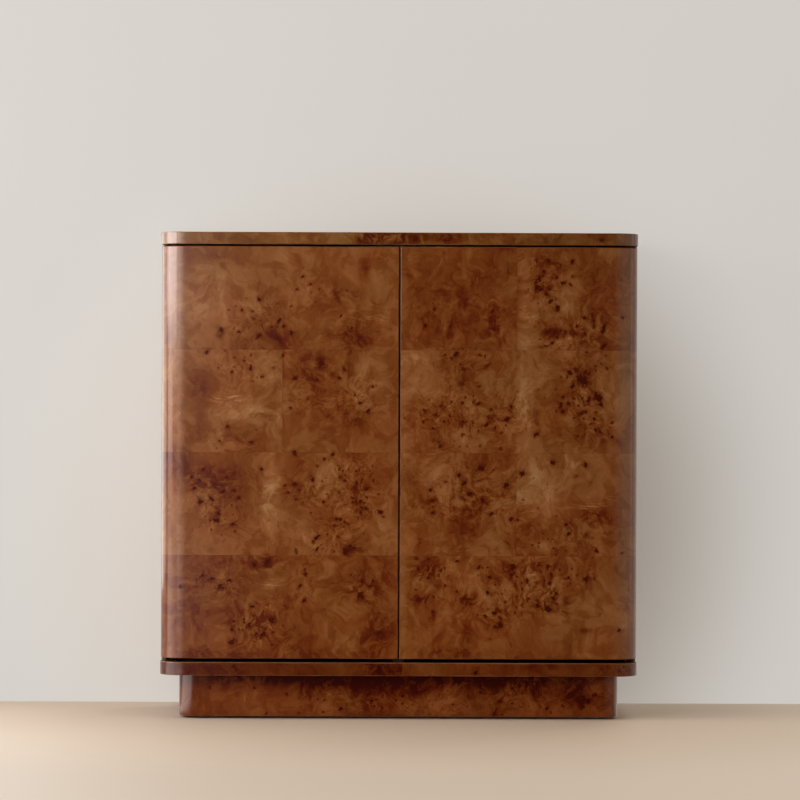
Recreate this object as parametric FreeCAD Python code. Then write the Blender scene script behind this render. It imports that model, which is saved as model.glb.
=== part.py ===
"""A two-door bar armoire in burl veneer, with doors that wrap round the front corners.

Millimetres, +Z up. The origin is on the floor under the middle of the cabinet, the front faces -Y.
The right half is modelled and mirrored for the left, apart from the fittings of the two bays.
"""
import FreeCAD, Part
import math
import os

from FreeCAD import Vector

# Overall cabinet
cabinet_width = 1016.0
cabinet_depth = 457.0
top_thickness = 26.0
bottom_thickness = 28.0
slab_overhang = 1.5
slab_ease = 1.5
side_thickness = 22.0
side_ease = 3.0
partition_thickness = 22.0
back_thickness = 8.0
back_lap = 10.0

# Doors
door_height = 875.0
door_thickness = 22.0
door_ease = 1.5
corner_radius = 50.0
top_reveal = 4.0
bottom_reveal = 8.0
meeting_gap = 3.0
side_seam = 1.5
door_backing_gap = 5.0
spline_thickness = 6.0
spline_width = 24.0
spline_end_margin = 30.0

# Plinth
plinth_height = 89.0
plinth_inset = 40.0
plinth_back_inset = 20.0
plinth_corner_radius = 30.0
plinth_thickness = 20.0
plinth_ease = 1.0
floor_clearance = 5.0
brace_size = 60.0
brace_height = 50.0

# Levelling feet
foot_pad_radius = 18.0
foot_pad_height = 8.0
foot_pad_ease = 1.5
foot_stem_radius = 5.0
foot_stem_top = 70.0
foot_play = 0.08
foot_bore_radius = 6.0
foot_bore_top_margin = 6.0
insert_radius = 8.0
insert_length = 22.0
insert_flange_radius = 12.0
insert_flange = 2.0

# Shelves and their pins
shelf_thickness = 20.0
shelf_ease = 2.0
fixed_shelf_height = 350.0
shelf_side_clearance = 1.0
shelf_back_clearance = 2.0
pin_radius = 2.5
pin_depth = 8.0
pin_ledge_reach = 9.0
pin_ledge_width = 10.0
pin_ledge_thickness = 2.5
pin_pitch = 32.0
pin_count = 7
pin_shelf_index = 2
pin_first_rise = 150.0
pin_row_inset = 50.0

# Glass rack under the top of the left bay
glass_slot_count = 4
glass_slot = 22.0
glass_web = 16.0
glass_web_height = 22.0
glass_flange = 8.0
glass_rail_back_gap = 20.0
glass_rail_ease = 2.0

# Bottle rack in the lower right bay
bottle_columns = 4
bottle_rows = 3
bottle_board = 10.0
bottle_setback = 6.0
halving_clearance = 0.2

# Racks on the insides of the doors
lower_rack_rise = 60.0
upper_rack_rise = 430.0
rack_depth = 105.0
rack_board = 12.0
rack_end_height = 110.0
rack_end_round = 25.0
rack_inner_margin = 30.0
rack_outer_margin = 16.0
rack_to_shelf = 25.0
rack_rail_radius = 4.0
rack_rail_rise = 82.0
rack_rail_inset = 12.0
rack_rail_seat = 6.0
rack_dowel_radius = 3.0
rack_dowel_seat = 8.0
rack_dowel_door_shares = (0.2, 0.75)
rack_dowel_base_shares = (0.25, 0.75)

# Pivot hinges at the outer ends of the doors
pivot_radius = 4.0
pivot_in_slab = 14.0
pivot_in_door = 18.0
pivot_play = 0.05
pivot_bore_end = 1.0
pivot_plate = 3.0
pivot_plate_proud = 0.3
pivot_plate_width = 13.0
pivot_frame_length = 58.0
pivot_door_sweep = 55.0
pivot_collar_radius = 8.0
pivot_collar_play = 0.1
pivot_frame_screw_shares = (0.45, 0.8)
pivot_door_screw_shares = (0.5, 0.85)

# Touch latches under the top, near the meeting edges
latch_offset = 36.0
latch_width = 16.0
latch_height = 16.0
latch_length = 56.0
latch_ear = 9.0
latch_ear_thickness = 3.0
latch_ear_screw_shares = (0.2, 0.8)
latch_stand_off = 12.0
latch_drop = 9.0
plunger_radius = 4.0
plunger_length = 36.0
plunger_play = 0.08
plunger_tip_radius = 5.5
plunger_tip = 3.0
plunger_gap = 0.3
plunger_travel = 3.0
strike_radius = 7.0
strike_thickness = 1.5
strike_spigot_radius = 3.0
strike_spigot = 7.0
bumper_radius = 3.5
bumper_thickness = 2.0
bumper_end_margin = 60.0

# Dowels and screws
dowel_radius = 4.0
dowel_in_slab = 12.0
dowel_in_upright = 18.0
dowel_in_shelf = 18.0
dowel_in_panel = 9.0
upright_dowel_shares = (0.1, 0.5, 0.9)
right_shelf_dowel_shares = (0.15, 0.75)
left_shelf_dowel_shares = (0.25, 0.85)
screw_clearance = 0.05
small_head_radius = 3.2
small_shank_radius = 1.5
small_head_height = 1.8
small_recess = 0.9
long_head_radius = 4.5
long_shank_radius = 2.2
long_head_height = 2.6
long_recess = 1.3
recess_length_share = 1.15
recess_width_share = 0.28
hinge_screw_length = 16.0
latch_screw_length = 14.0
back_screw_length = 20.0
back_screw_bite_shares = (0.06, 0.35, 0.65, 0.94)
back_screw_cross_shares = (0.25, 0.75)
brace_screw_in_bottom = 16.0
brace_screw_inset = 12.0
glass_screw_in_top = 12.0
glass_screw_shares = (0.12, 0.88)
cut_overrun = 1.0

# Levels from the floor up
plinth_top = floor_clearance + plinth_height
bottom_top = plinth_top + bottom_thickness
door_bottom = bottom_top + bottom_reveal
door_top = door_bottom + door_height
rack_levels = (door_bottom + lower_rack_rise, door_bottom + upper_rack_rise)
top_underside = door_top + top_reveal
cabinet_height = top_underside + top_thickness
fixed_shelf_level = bottom_top + fixed_shelf_height
fixed_shelf_top = fixed_shelf_level + shelf_thickness
pin_first_level = fixed_shelf_top + pin_first_rise
pin_levels = [pin_first_level + pin_pitch * step for step in range(pin_count)]

# Planes from front to back and from the middle outwards
half_width = cabinet_width / 2
front_face = -cabinet_depth / 2
back_face = cabinet_depth / 2
back_front = back_face - back_thickness
door_face = front_face + slab_overhang
door_inside = door_face + door_thickness
side_face = half_width - slab_overhang
side_inside = side_face - side_thickness
partition_face = partition_thickness / 2
partition_front = door_inside + door_backing_gap
shelf_front = door_inside + rack_depth + rack_to_shelf
corner_x = side_face - corner_radius
corner_y = door_face + corner_radius
pivot_x = side_face - door_thickness / 2
pivot_y = corner_y
side_front = pivot_y + door_thickness / 2 + side_seam
plinth_front = front_face + plinth_inset
plinth_side = half_width - plinth_inset
plinth_back = back_face - plinth_back_inset
bay_width = side_inside - partition_face
pin_rows = (shelf_front + pin_row_inset, back_front - pin_row_inset)

UP = Vector(0, 0, 1)
DOWN = Vector(0, 0, -1)
TO_FRONT = Vector(0, -1, 0)
TO_BACK = Vector(0, 1, 0)


def block(x_span, y_span, z_span):
    """A box between the low and high ends of three spans."""
    size = [high - low for low, high in (x_span, y_span, z_span)]
    return Part.makeBox(*size, Vector(x_span[0], y_span[0], z_span[0]))


def rod(radius, start, end):
    """A round bar from one point to another."""
    return Part.makeCylinder(radius, (end - start).Length, start, end - start)


def along(span, share):
    """The place at a share of the way along a span."""
    return span[0] + (span[1] - span[0]) * share


def mirrored(shape):
    """The same shape on the other side of the cabinet's middle plane."""
    return shape.mirror(Vector(0, 0, 0), Vector(1, 0, 0))


def both_sides(shapes):
    """Shapes of the right half followed by their mirror images."""
    return list(shapes) + [mirrored(shape) for shape in shapes]


def prism(edges, bottom, height):
    """A solid raised from a closed plan outline at z = 0."""
    face = Part.Face(Part.Wire(edges))
    solid = face.extrude(Vector(0, 0, height))
    solid.translate(Vector(0, 0, bottom))
    return solid


def line(start, end):
    """A straight edge of a plan outline."""
    return Part.LineSegment(Vector(*start, 0), Vector(*end, 0)).toShape()


def arc(centre, radius, start_angle, end_angle):
    """A round edge of a plan outline, angles in degrees, in either direction."""
    middle_angle = (start_angle + end_angle) / 2
    points = []
    for angle in (start_angle, middle_angle, end_angle):
        turn = math.radians(angle)
        points.append(Vector(centre[0] + radius * math.cos(turn), centre[1] + radius * math.sin(turn), 0))
    return Part.Arc(*points).toShape()


def eased(solid, radius, wanted):
    """Rounds the edges whose bounding box satisfies a test."""
    edges = [edge for edge in solid.Edges if wanted(edge.BoundBox)]
    return solid.makeFillet(radius, edges)


def level_edges(*levels):
    """A test for edges that lie in any of some horizontal planes."""
    flat = slab_ease / 100
    return lambda box: any(abs(box.ZMin - z) < flat and abs(box.ZMax - z) < flat for z in levels)


def screw(head_radius, shank_radius, head_height, recess, length, head, direction, clearance=0):
    """A countersunk screw with a cross recess, from the middle of its head along a direction.

    With a clearance it is the hole for that screw, and has no recess.
    """
    outline = [
        Vector(0, 0, 0),
        Vector(head_radius + clearance, 0, 0),
        Vector(shank_radius + clearance, 0, head_height),
        Vector(shank_radius + clearance, 0, length + clearance),
        Vector(0, 0, length + clearance),
        Vector(0, 0, 0),
    ]
    body = Part.Face(Part.makePolygon(outline)).revolve(Vector(0, 0, 0), UP, 360)
    if not clearance:
        reach = head_radius * recess_length_share / 2
        width = head_radius * recess_width_share / 2
        slots = [
            block((-reach, reach), (-width, width), (0, recess)),
            block((-width, width), (-reach, reach), (0, recess)),
        ]
        body = body.cut(slots)
    body.Placement = FreeCAD.Placement(head, FreeCAD.Rotation(UP, direction))
    return body


def small_screw(length, head, direction, clearance=0):
    """A screw of the hinge, latch and back panel size."""
    sizes = (small_head_radius, small_shank_radius, small_head_height, small_recess)
    return screw(*sizes, length, head, direction, clearance)


def long_screw(length, head, direction, clearance=0):
    """A screw of the plinth and glass rack size."""
    sizes = (long_head_radius, long_shank_radius, long_head_height, long_recess)
    return screw(*sizes, length, head, direction, clearance)


def with_holes(make, places):
    """Screws at places, and the holes that they need, from one maker."""
    screws = [make(*place) for place in places]
    holes = [make(*place, screw_clearance) for place in places]
    return screws, holes


def export(name, solids):
    """Writes one named piece, or one group of like pieces."""
    shape = solids[0] if len(solids) == 1 else Part.makeCompound(solids)
    for solid in shape.Solids:
        assert solid.isValid(), name
    assert len(shape.Solids) == len(solids), name
    shape.exportStep(f"parts/{name}.step")


def slab_outline(inset, radius):
    """The plan of the top and bottom panels: rounded in front, square at the back."""
    side = half_width - inset
    front = front_face + inset
    x, y = side - radius, front + radius
    return [
        line((-side, back_face), (side, back_face)),
        line((side, back_face), (side, y)),
        arc((x, y), radius, 0, -90),
        line((x, front), (-x, front)),
        arc((-x, y), radius, -90, -180),
        line((-side, y), (-side, back_face)),
    ]


def slab(bottom, thickness):
    """A top or bottom panel with eased edges."""
    solid = prism(slab_outline(0, corner_radius + slab_overhang), bottom, thickness)
    return eased(solid, slab_ease, level_edges(bottom, bottom + thickness))


def upright_dowels():
    """Dowels that locate the sides and the partition in the top and bottom panels."""
    side_middle = side_face - side_thickness / 2
    dowels = []
    for x, front in ((-side_middle, side_front), (0, partition_front), (side_middle, side_front)):
        for share in upright_dowel_shares:
            y = along((front, back_front), share)
            ends = (
                (bottom_top - dowel_in_slab, bottom_top + dowel_in_upright),
                (top_underside - dowel_in_upright, top_underside + dowel_in_slab),
            )
            for low, high in ends:
                dowels.append(rod(dowel_radius, Vector(x, y, low), Vector(x, y, high)))
    return dowels


def shelf_dowels():
    """Dowels at both ends of the two fixed shelves."""
    z = fixed_shelf_level + shelf_thickness / 2
    bays = ((1, right_shelf_dowel_shares), (-1, left_shelf_dowel_shares))
    dowels = []
    for side, shares in bays:
        for share in shares:
            y = along((shelf_front, back_front), share)
            spans = (
                (partition_face - dowel_in_panel, partition_face + dowel_in_shelf),
                (side_inside - dowel_in_shelf, side_inside + dowel_in_panel),
            )
            for inner, outer in spans:
                dowels.append(rod(dowel_radius, Vector(side * inner, y, z), Vector(side * outer, y, z)))
    return dowels


def pin_holes(face, direction):
    """Two rows of blind holes for shelf pins, bored into a face along X."""
    holes = []
    for y in pin_rows:
        for z in pin_levels:
            mouth = Vector(face, y, z)
            holes.append(rod(pin_radius, mouth, mouth + Vector(direction * pin_depth, 0, 0)))
    return holes


def shelf_pin(face, direction, y):
    """A pin in its hole, with a flat ledge that carries a shelf. Direction is into the panel."""
    z = pin_levels[pin_shelf_index]
    mouth = Vector(face, y, z)
    pin = rod(pin_radius, mouth, mouth + Vector(direction * pin_depth, 0, 0))
    ledge_end = face - direction * pin_ledge_reach
    ledge = block(
        (min(face, ledge_end), max(face, ledge_end)),
        (y - pin_ledge_width / 2, y + pin_ledge_width / 2),
        (z - pin_ledge_thickness / 2, z + pin_ledge_thickness / 2),
    )
    return pin.fuse(ledge).removeSplitter()


def shelf_pins():
    """Four pins for each of the two adjustable shelves."""
    faces = ((partition_face, -1), (side_inside, 1))
    return both_sides([shelf_pin(face, way, y) for face, way in faces for y in pin_rows])


def back_screws():
    """Screws through the back panel into the sides, the slabs and the partition."""
    side_line = side_inside + back_lap / 2
    low_line, high_line = bottom_top - back_lap / 2, top_underside + back_lap / 2
    tall, wide = (bottom_top, top_underside), (-side_inside, side_inside)
    spots = [(x, along(tall, share)) for x in (-side_line, side_line, 0) for share in back_screw_bite_shares]
    spots += [(along(wide, share), z) for z in (low_line, high_line) for share in back_screw_cross_shares]
    places = [(back_screw_length, Vector(x, back_face, z), TO_FRONT) for x, z in spots]
    return with_holes(small_screw, places)


def back_panel():
    """The back panel, let into rabbets of the sides and the slabs."""
    side = side_inside + back_lap
    tall = (bottom_top - back_lap, top_underside + back_lap)
    return block((-side, side), (back_front, back_face), tall)


def side_panel():
    """The right side panel, before its holes are bored."""
    panel = block((side_inside, side_face), (side_front, back_face), (bottom_top, top_underside))
    near = side_ease / 100

    def outer_front(box):
        return abs(box.XMin - side_face) < near and abs(box.YMax - side_front) < near

    return eased(panel, side_ease, outer_front)


def partition():
    """The upright panel in the middle, behind the meeting edges of the doors."""
    x_span = (-partition_face, partition_face)
    return block(x_span, (partition_front, back_front), (bottom_top, top_underside))


def front_eased(board, front, bottom, thickness, radius):
    """Rounds the two long front edges of a shelf or rack board."""
    near = radius / 100

    def long_front(box):
        level = abs(box.ZMin - bottom) < near or abs(box.ZMax - bottom - thickness) < near
        return level and abs(box.YMax - front) < near and box.ZLength < near

    return eased(board, radius, long_front)


def fixed_shelf():
    """The right fixed shelf."""
    z_span = (fixed_shelf_level, fixed_shelf_top)
    shelf = block((partition_face, side_inside), (shelf_front, back_front), z_span)
    return front_eased(shelf, shelf_front, fixed_shelf_level, shelf_thickness, shelf_ease)


def adjustable_shelf():
    """The right adjustable shelf, resting on its pins."""
    level = pin_levels[pin_shelf_index] + pin_ledge_thickness / 2
    x_span = (partition_face + shelf_side_clearance, side_inside - shelf_side_clearance)
    shelf = block(x_span, (shelf_front, back_front - shelf_back_clearance), (level, level + shelf_thickness))
    return front_eased(shelf, shelf_front, level, shelf_thickness, shelf_ease)


def glass_rail_places():
    """For each glass rail, the middle of its web and the span of its flange, from the side to the middle."""
    pitch = bay_width / glass_slot_count
    reach = (pitch - glass_slot) / 2
    bay = (-side_inside, -partition_face)
    places = []
    for step in range(glass_slot_count + 1):
        line_x = bay[0] + pitch * step
        middle = min(max(line_x, bay[0] + glass_web / 2), bay[1] - glass_web / 2)
        places.append((middle, (max(line_x - reach, bay[0]), min(line_x + reach, bay[1]))))
    return places


def glass_rails():
    """T-shaped rails that hang stemmed glasses by their feet, with half rails at the bay's ends."""
    y_span = (shelf_front, back_front - glass_rail_back_gap)
    web_bottom = top_underside - glass_web_height
    flange_span = (web_bottom - glass_flange, web_bottom)
    rails = []
    for middle, flange_x in glass_rail_places():
        web = block((middle - glass_web / 2, middle + glass_web / 2), y_span, (web_bottom, top_underside))
        flange = block(flange_x, y_span, flange_span)
        flange = front_eased(flange, y_span[0], flange_span[0], glass_flange, glass_rail_ease)
        rails.append(flange.fuse(web).removeSplitter())
    return rails


def glass_rail_screws():
    """Screws up through the rails into the top."""
    y_span = (shelf_front, back_front - glass_rail_back_gap)
    underside = top_underside - glass_web_height - glass_flange
    length = glass_flange + glass_web_height + glass_screw_in_top
    places = []
    for middle, _ in glass_rail_places():
        for share in glass_screw_shares:
            places.append((length, Vector(middle, along(y_span, share), underside), UP))
    return with_holes(long_screw, places)


def bottle_boards():
    """The halved uprights and shelves of the bottle rack."""
    x_span, z_span = (partition_face, side_inside), (bottom_top, fixed_shelf_level)
    y_span = (shelf_front + bottle_setback, back_front)
    middle = along(y_span, 0.5)
    cell_x = (bay_width + bottle_board) / bottle_columns
    cell_z = (fixed_shelf_height + bottle_board) / bottle_rows
    x_places = [x_span[0] + cell_x * step - bottle_board for step in range(1, bottle_columns)]
    z_places = [z_span[0] + cell_z * step - bottle_board for step in range(1, bottle_rows)]
    gap = halving_clearance
    uprights, shelves = [], []
    for x in x_places:
        board = block((x, x + bottle_board), y_span, z_span)
        slots = [
            block(
                (x - cut_overrun, x + bottle_board + cut_overrun),
                (y_span[0] - cut_overrun, middle + gap),
                (z - gap, z + bottle_board + gap),
            )
            for z in z_places
        ]
        uprights.append(board.cut(slots))
    for z in z_places:
        board = block(x_span, y_span, (z, z + bottle_board))
        slots = [
            block(
                (x - gap, x + bottle_board + gap),
                (middle - gap, y_span[1] + cut_overrun),
                (z - cut_overrun, z + bottle_board + cut_overrun),
            )
            for x in x_places
        ]
        shelves.append(board.cut(slots))
    return uprights, shelves


def door_solid():
    """The right door: a flat front, a quarter-round corner, and a round nose about the pivot."""
    inner = corner_radius - door_thickness
    free_edge = meeting_gap / 2
    edges = [
        line((free_edge, door_face), (corner_x, door_face)),
        arc((corner_x, corner_y), corner_radius, -90, 0),
        arc((pivot_x, pivot_y), door_thickness / 2, 0, 180),
        arc((corner_x, corner_y), inner, 0, -90),
        line((corner_x, door_inside), (free_edge, door_inside)),
        line((free_edge, door_inside), (free_edge, door_face)),
    ]
    solid = prism(edges, door_bottom, door_height)
    ends = level_edges(door_bottom, door_top)
    near = door_ease / 100

    def rim(box):
        return ends(box) or abs(box.XMax - free_edge) < near

    return eased(solid, door_ease, rim)


def door_halves():
    """The door's flat panel and its corner piece, split where the round begins."""
    door = door_solid()
    y_span = (door_face - cut_overrun, side_front + corner_radius)
    z_span = (door_bottom - cut_overrun, door_top + cut_overrun)
    flat = door.common(block((-cut_overrun, corner_x), y_span, z_span))
    corner = door.common(block((corner_x, half_width + cut_overrun), y_span, z_span))
    return flat, corner


def door_spline():
    """The loose tongue that joins the flat panel to the corner piece."""
    y = door_face + door_thickness / 2
    return block(
        (corner_x - spline_width / 2, corner_x + spline_width / 2),
        (y - spline_thickness / 2, y + spline_thickness / 2),
        (door_bottom + spline_end_margin, door_top - spline_end_margin),
    )


def pivot_sets():
    """For the lower and upper end of a door: the slab's face, the door's edge and the way into the door."""
    return ((bottom_top, door_bottom, 1), (top_underside, door_top, -1))


def spread(first, second):
    """Two levels as a span."""
    return (min(first, second), max(first, second))


def pivot_pin(slab_level, door_level, way):
    """The pin, fast in the slab, on which the door turns."""
    low, high = spread(slab_level - way * pivot_in_slab, door_level + way * pivot_in_door)
    return rod(pivot_radius, Vector(pivot_x, pivot_y, low), Vector(pivot_x, pivot_y, high))


def pivot_door_bore(door_level, way):
    """The hole in the door for the pin."""
    end = door_level + way * (pivot_in_door + pivot_bore_end)
    low, high = spread(door_level - way * cut_overrun, end)
    radius = pivot_radius + pivot_play
    return rod(radius, Vector(pivot_x, pivot_y, low), Vector(pivot_x, pivot_y, high))


def pivot_frame_plate(slab_level, way):
    """A straight leaf let into the slab, round about the pivot."""
    half = pivot_plate_width / 2
    tail = pivot_x - pivot_frame_length
    edges = [
        arc((pivot_x, pivot_y), half, -90, 90),
        line((pivot_x, pivot_y + half), (tail, pivot_y + half)),
        line((tail, pivot_y + half), (tail, pivot_y - half)),
        line((tail, pivot_y - half), (pivot_x, pivot_y - half)),
    ]
    outer = slab_level + way * pivot_plate_proud
    low, high = spread(outer, outer - way * pivot_plate)
    return prism(edges, low, high - low)


def pivot_frame_screw_places(slab_level, way):
    """Screw heads on a slab leaf, driven into the slab."""
    level = slab_level + way * pivot_plate_proud
    places = []
    for share in pivot_frame_screw_shares:
        head = Vector(pivot_x - pivot_frame_length * share, pivot_y, level)
        places.append((hinge_screw_length, head, Vector(0, 0, -way)))
    return places


def pivot_door_plate(door_level, way):
    """A curved leaf let into the door's end, following the corner from the pivot."""
    half = pivot_plate_width / 2
    middle = corner_radius - door_thickness / 2
    turn = math.radians(-pivot_door_sweep)
    tip = (corner_x + middle * math.cos(turn), corner_y + middle * math.sin(turn))
    edges = [
        arc((pivot_x, pivot_y), half, 0, 180),
        arc((corner_x, corner_y), middle - half, 0, -pivot_door_sweep),
        arc(tip, half, 180 - pivot_door_sweep, 360 - pivot_door_sweep),
        arc((corner_x, corner_y), middle + half, -pivot_door_sweep, 0),
    ]
    outer = door_level - way * pivot_plate_proud
    low, high = spread(outer, outer + way * pivot_plate)
    return prism(edges, low, high - low)


def pivot_door_screw_places(door_level, way):
    """Screw heads on a door leaf, driven into the door."""
    middle = corner_radius - door_thickness / 2
    places = []
    for share in pivot_door_screw_shares:
        turn = math.radians(-pivot_door_sweep * share)
        x, y = corner_x + middle * math.cos(turn), corner_y + middle * math.sin(turn)
        head = Vector(x, y, door_level - way * pivot_plate_proud)
        places.append((hinge_screw_length, head, Vector(0, 0, way)))
    return places


def pivot_collar(slab_level, door_level, way):
    """The thrust collar round the pin, between the two leaves."""
    low, high = spread(
        slab_level + way * pivot_plate_proud,
        door_level - way * (pivot_plate_proud + pivot_collar_play),
    )
    ring = rod(pivot_collar_radius, Vector(pivot_x, pivot_y, low), Vector(pivot_x, pivot_y, high))
    return ring.cut(rod(pivot_radius, Vector(pivot_x, pivot_y, low), Vector(pivot_x, pivot_y, high)))


def latch_axis():
    """Where the plunger's axis meets the door's inner face."""
    return Vector(latch_offset, door_inside, top_underside - latch_drop)


def latch_body():
    """A latch housing with two ears, bored for its plunger."""
    front = door_inside + latch_stand_off
    y_span = (front, front + latch_length)
    half, wing = latch_width / 2, latch_width / 2 + latch_ear
    shell_z = (top_underside - latch_height, top_underside)
    ear_z = (top_underside - latch_ear_thickness, top_underside)
    shell = block((latch_offset - half, latch_offset + half), y_span, shell_z)
    ears = block((latch_offset - wing, latch_offset + wing), y_span, ear_z)
    start = Vector(latch_offset, front - cut_overrun, top_underside - latch_drop)
    bore_end = front - latch_stand_off + plunger_length + plunger_travel + plunger_gap
    bore = rod(plunger_radius + plunger_play, start, Vector(start.x, bore_end + cut_overrun, start.z))
    return shell.fuse(ears).removeSplitter().cut(bore)


def latch_screws():
    """Two screws through each latch's ears into the top."""
    y_span = (door_inside + latch_stand_off, door_inside + latch_stand_off + latch_length)
    offset = latch_width / 2 + latch_ear / 2
    level = top_underside - latch_ear_thickness
    places = []
    for way, share in zip((-1, 1), latch_ear_screw_shares):
        head = Vector(latch_offset + way * offset, along(y_span, share), level)
        places.append((latch_screw_length, head, UP))
    return with_holes(small_screw, places)


def latch_plunger():
    """The spring plunger with its wider magnetic tip, held in by the closed door."""
    axis = latch_axis()
    tip = axis + TO_BACK * (strike_thickness + plunger_gap)
    shoulder = tip + TO_BACK * plunger_tip
    stem = rod(plunger_radius, shoulder, axis + TO_BACK * plunger_length)
    return rod(plunger_tip_radius, tip, shoulder).fuse(stem).removeSplitter()


def latch_strike():
    """A steel disc on the door for the plunger, with a spigot pressed into the door."""
    axis = latch_axis()
    disc = rod(strike_radius, axis, axis + TO_BACK * strike_thickness)
    return disc.fuse(rod(strike_spigot_radius, axis, axis + TO_FRONT * strike_spigot)).removeSplitter()


def bumpers():
    """Soft stops on the partition's front edge, two for each door."""
    x = (meeting_gap / 2 + partition_face) / 2
    stops = []
    for z in (door_bottom + bumper_end_margin, door_top - bumper_end_margin):
        back = Vector(x, partition_front, z)
        stops.append(rod(bumper_radius, back + TO_FRONT * bumper_thickness, back))
    return both_sides(stops)


def rack_span():
    """The inner and outer ends of the door racks."""
    return (rack_inner_margin, corner_x - rack_outer_margin)


def rack_base(level):
    """The board that bottles stand on."""
    start, end = rack_span()
    y_span = (door_inside, door_inside + rack_depth)
    return block((start + rack_board, end - rack_board), y_span, (level, level + rack_board))


def rack_ends(level):
    """The two end boards of a rack, with the top inner corner rounded off."""
    start, end = rack_span()
    y_span = (door_inside, door_inside + rack_depth)
    near = rack_end_round / 100

    def upper_inner(box):
        return abs(box.ZMin - level - rack_end_height) < near and abs(box.YMin - y_span[1]) < near

    boards = []
    for x in (start, end - rack_board):
        board = block((x, x + rack_board), y_span, (level, level + rack_end_height))
        boards.append(eased(board, rack_end_round, upper_inner))
    return boards


def rack_rail(level):
    """The round rail across the open side of a rack, let into both ends."""
    start, end = rack_span()
    y, z = door_inside + rack_depth - rack_rail_inset, level + rack_rail_rise
    inner = start + rack_board - rack_rail_seat
    outer = end - rack_board + rack_rail_seat
    return rod(rack_rail_radius, Vector(inner, y, z), Vector(outer, y, z))


def rack_dowels(level):
    """Dowels from the rack's ends into the door, and from its base into the ends."""
    start, end = rack_span()
    y_span = (door_inside, door_inside + rack_depth)
    dowels = []
    for x in (start + rack_board / 2, end - rack_board / 2):
        for share in rack_dowel_door_shares:
            seat = Vector(x, door_inside, level + rack_end_height * share)
            reach = TO_BACK * rack_dowel_seat
            dowels.append(rod(rack_dowel_radius, seat - reach, seat + reach))
    for x in (start + rack_board, end - rack_board):
        for share in rack_dowel_base_shares:
            seat = Vector(x, along(y_span, share), level + rack_board / 2)
            reach = Vector(rack_dowel_seat, 0, 0)
            dowels.append(rod(rack_dowel_radius, seat - reach, seat + reach))
    return dowels


def plinth_rails():
    """The plinth's four rails and its two round front corners, by name."""
    z_span = (floor_clearance, plinth_top)
    straight = plinth_side - plinth_corner_radius
    corner_back = plinth_front + plinth_corner_radius
    front = block((-straight, straight), (plinth_front, plinth_front + plinth_thickness), z_span)
    side = block((plinth_side - plinth_thickness, plinth_side), (corner_back, plinth_back), z_span)
    inside = plinth_side - plinth_thickness
    back = block((-inside, inside), (plinth_back - plinth_thickness, plinth_back), z_span)
    corner = prism(
        [
            line((straight, corner_back), (straight, plinth_front)),
            arc((straight, corner_back), plinth_corner_radius, -90, 0),
            line((plinth_side, corner_back), (straight, corner_back)),
        ],
        floor_clearance,
        plinth_height,
    )
    near = plinth_ease / 100

    def lower_outer(box):
        outside = abs(box.YMin - plinth_front) < near or abs(box.XMax - plinth_side) < near
        return outside and abs(box.ZMax - floor_clearance) < near

    def lower_front(box):
        return abs(box.YMax - plinth_front) < near and abs(box.ZMax - floor_clearance) < near

    def lower_side(box):
        return abs(box.XMin - plinth_side) < near and abs(box.ZMax - floor_clearance) < near

    front = eased(front, plinth_ease, lower_front)
    side = eased(side, plinth_ease, lower_side)
    corner = eased(corner, plinth_ease, lower_outer)
    return {
        "plinth_front_rail": front,
        "plinth_back_rail": back,
        "plinth_right_rail": side,
        "plinth_left_rail": mirrored(side),
        "plinth_right_corner": corner,
        "plinth_left_corner": mirrored(corner),
    }


def brace_spans():
    """Plan spans of the front and back corner braces of the right half."""
    front_x = plinth_side - plinth_corner_radius
    back_x = plinth_side - plinth_thickness
    front_y = plinth_front + plinth_thickness
    back_y = plinth_back - plinth_thickness
    return (
        ((front_x - brace_size, front_x), (front_y, front_y + brace_size)),
        ((back_x - brace_size, back_x), (back_y - brace_size, back_y)),
    )


def braces():
    """Corner blocks that stiffen the plinth and take the levelling feet, with their screws and inserts."""
    bottom = plinth_top - brace_height
    blocks, places, inserts = [], [], []
    for x_span, y_span in brace_spans():
        centre = Vector(along(x_span, 0.5), along(y_span, 0.5), bottom)
        bore_top = plinth_top - foot_bore_top_margin
        bore = rod(foot_bore_radius, centre, Vector(centre.x, centre.y, bore_top))
        sleeve = rod(insert_radius, centre, centre + UP * insert_length)
        flange = rod(insert_flange_radius, centre + DOWN * insert_flange, centre)
        blocks.append(block(x_span, y_span, (bottom, plinth_top)).cut([bore, sleeve]))
        thread = rod(foot_stem_radius + foot_play, centre + DOWN * insert_length, centre + UP * brace_height)
        inserts.append(sleeve.fuse(flange).removeSplitter().cut(thread))
        for x, y in ((x_span[0], y_span[0]), (x_span[1], y_span[1])):
            inward_x = math.copysign(brace_screw_inset, centre.x - x)
            inward_y = math.copysign(brace_screw_inset, centre.y - y)
            head = Vector(x + inward_x, y + inward_y, bottom)
            places.append((brace_height + brace_screw_in_bottom, head, UP))
    screws, holes = with_holes(long_screw, places)
    blocks = [brace.cut(holes) for brace in blocks]
    return both_sides(blocks), both_sides(inserts), both_sides(screws), both_sides(holes)


def levelling_foot(x_span, y_span):
    """A moulded pad on a threaded stem, standing on the floor."""
    ground = Vector(along(x_span, 0.5), along(y_span, 0.5), 0)
    pad = rod(foot_pad_radius, ground, ground + UP * foot_pad_height)
    pad = eased(pad, foot_pad_ease, level_edges(0, foot_pad_height))
    stem = rod(foot_stem_radius, ground + UP * foot_pad_height, ground + UP * foot_stem_top)
    return pad.fuse(stem).removeSplitter()


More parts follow.
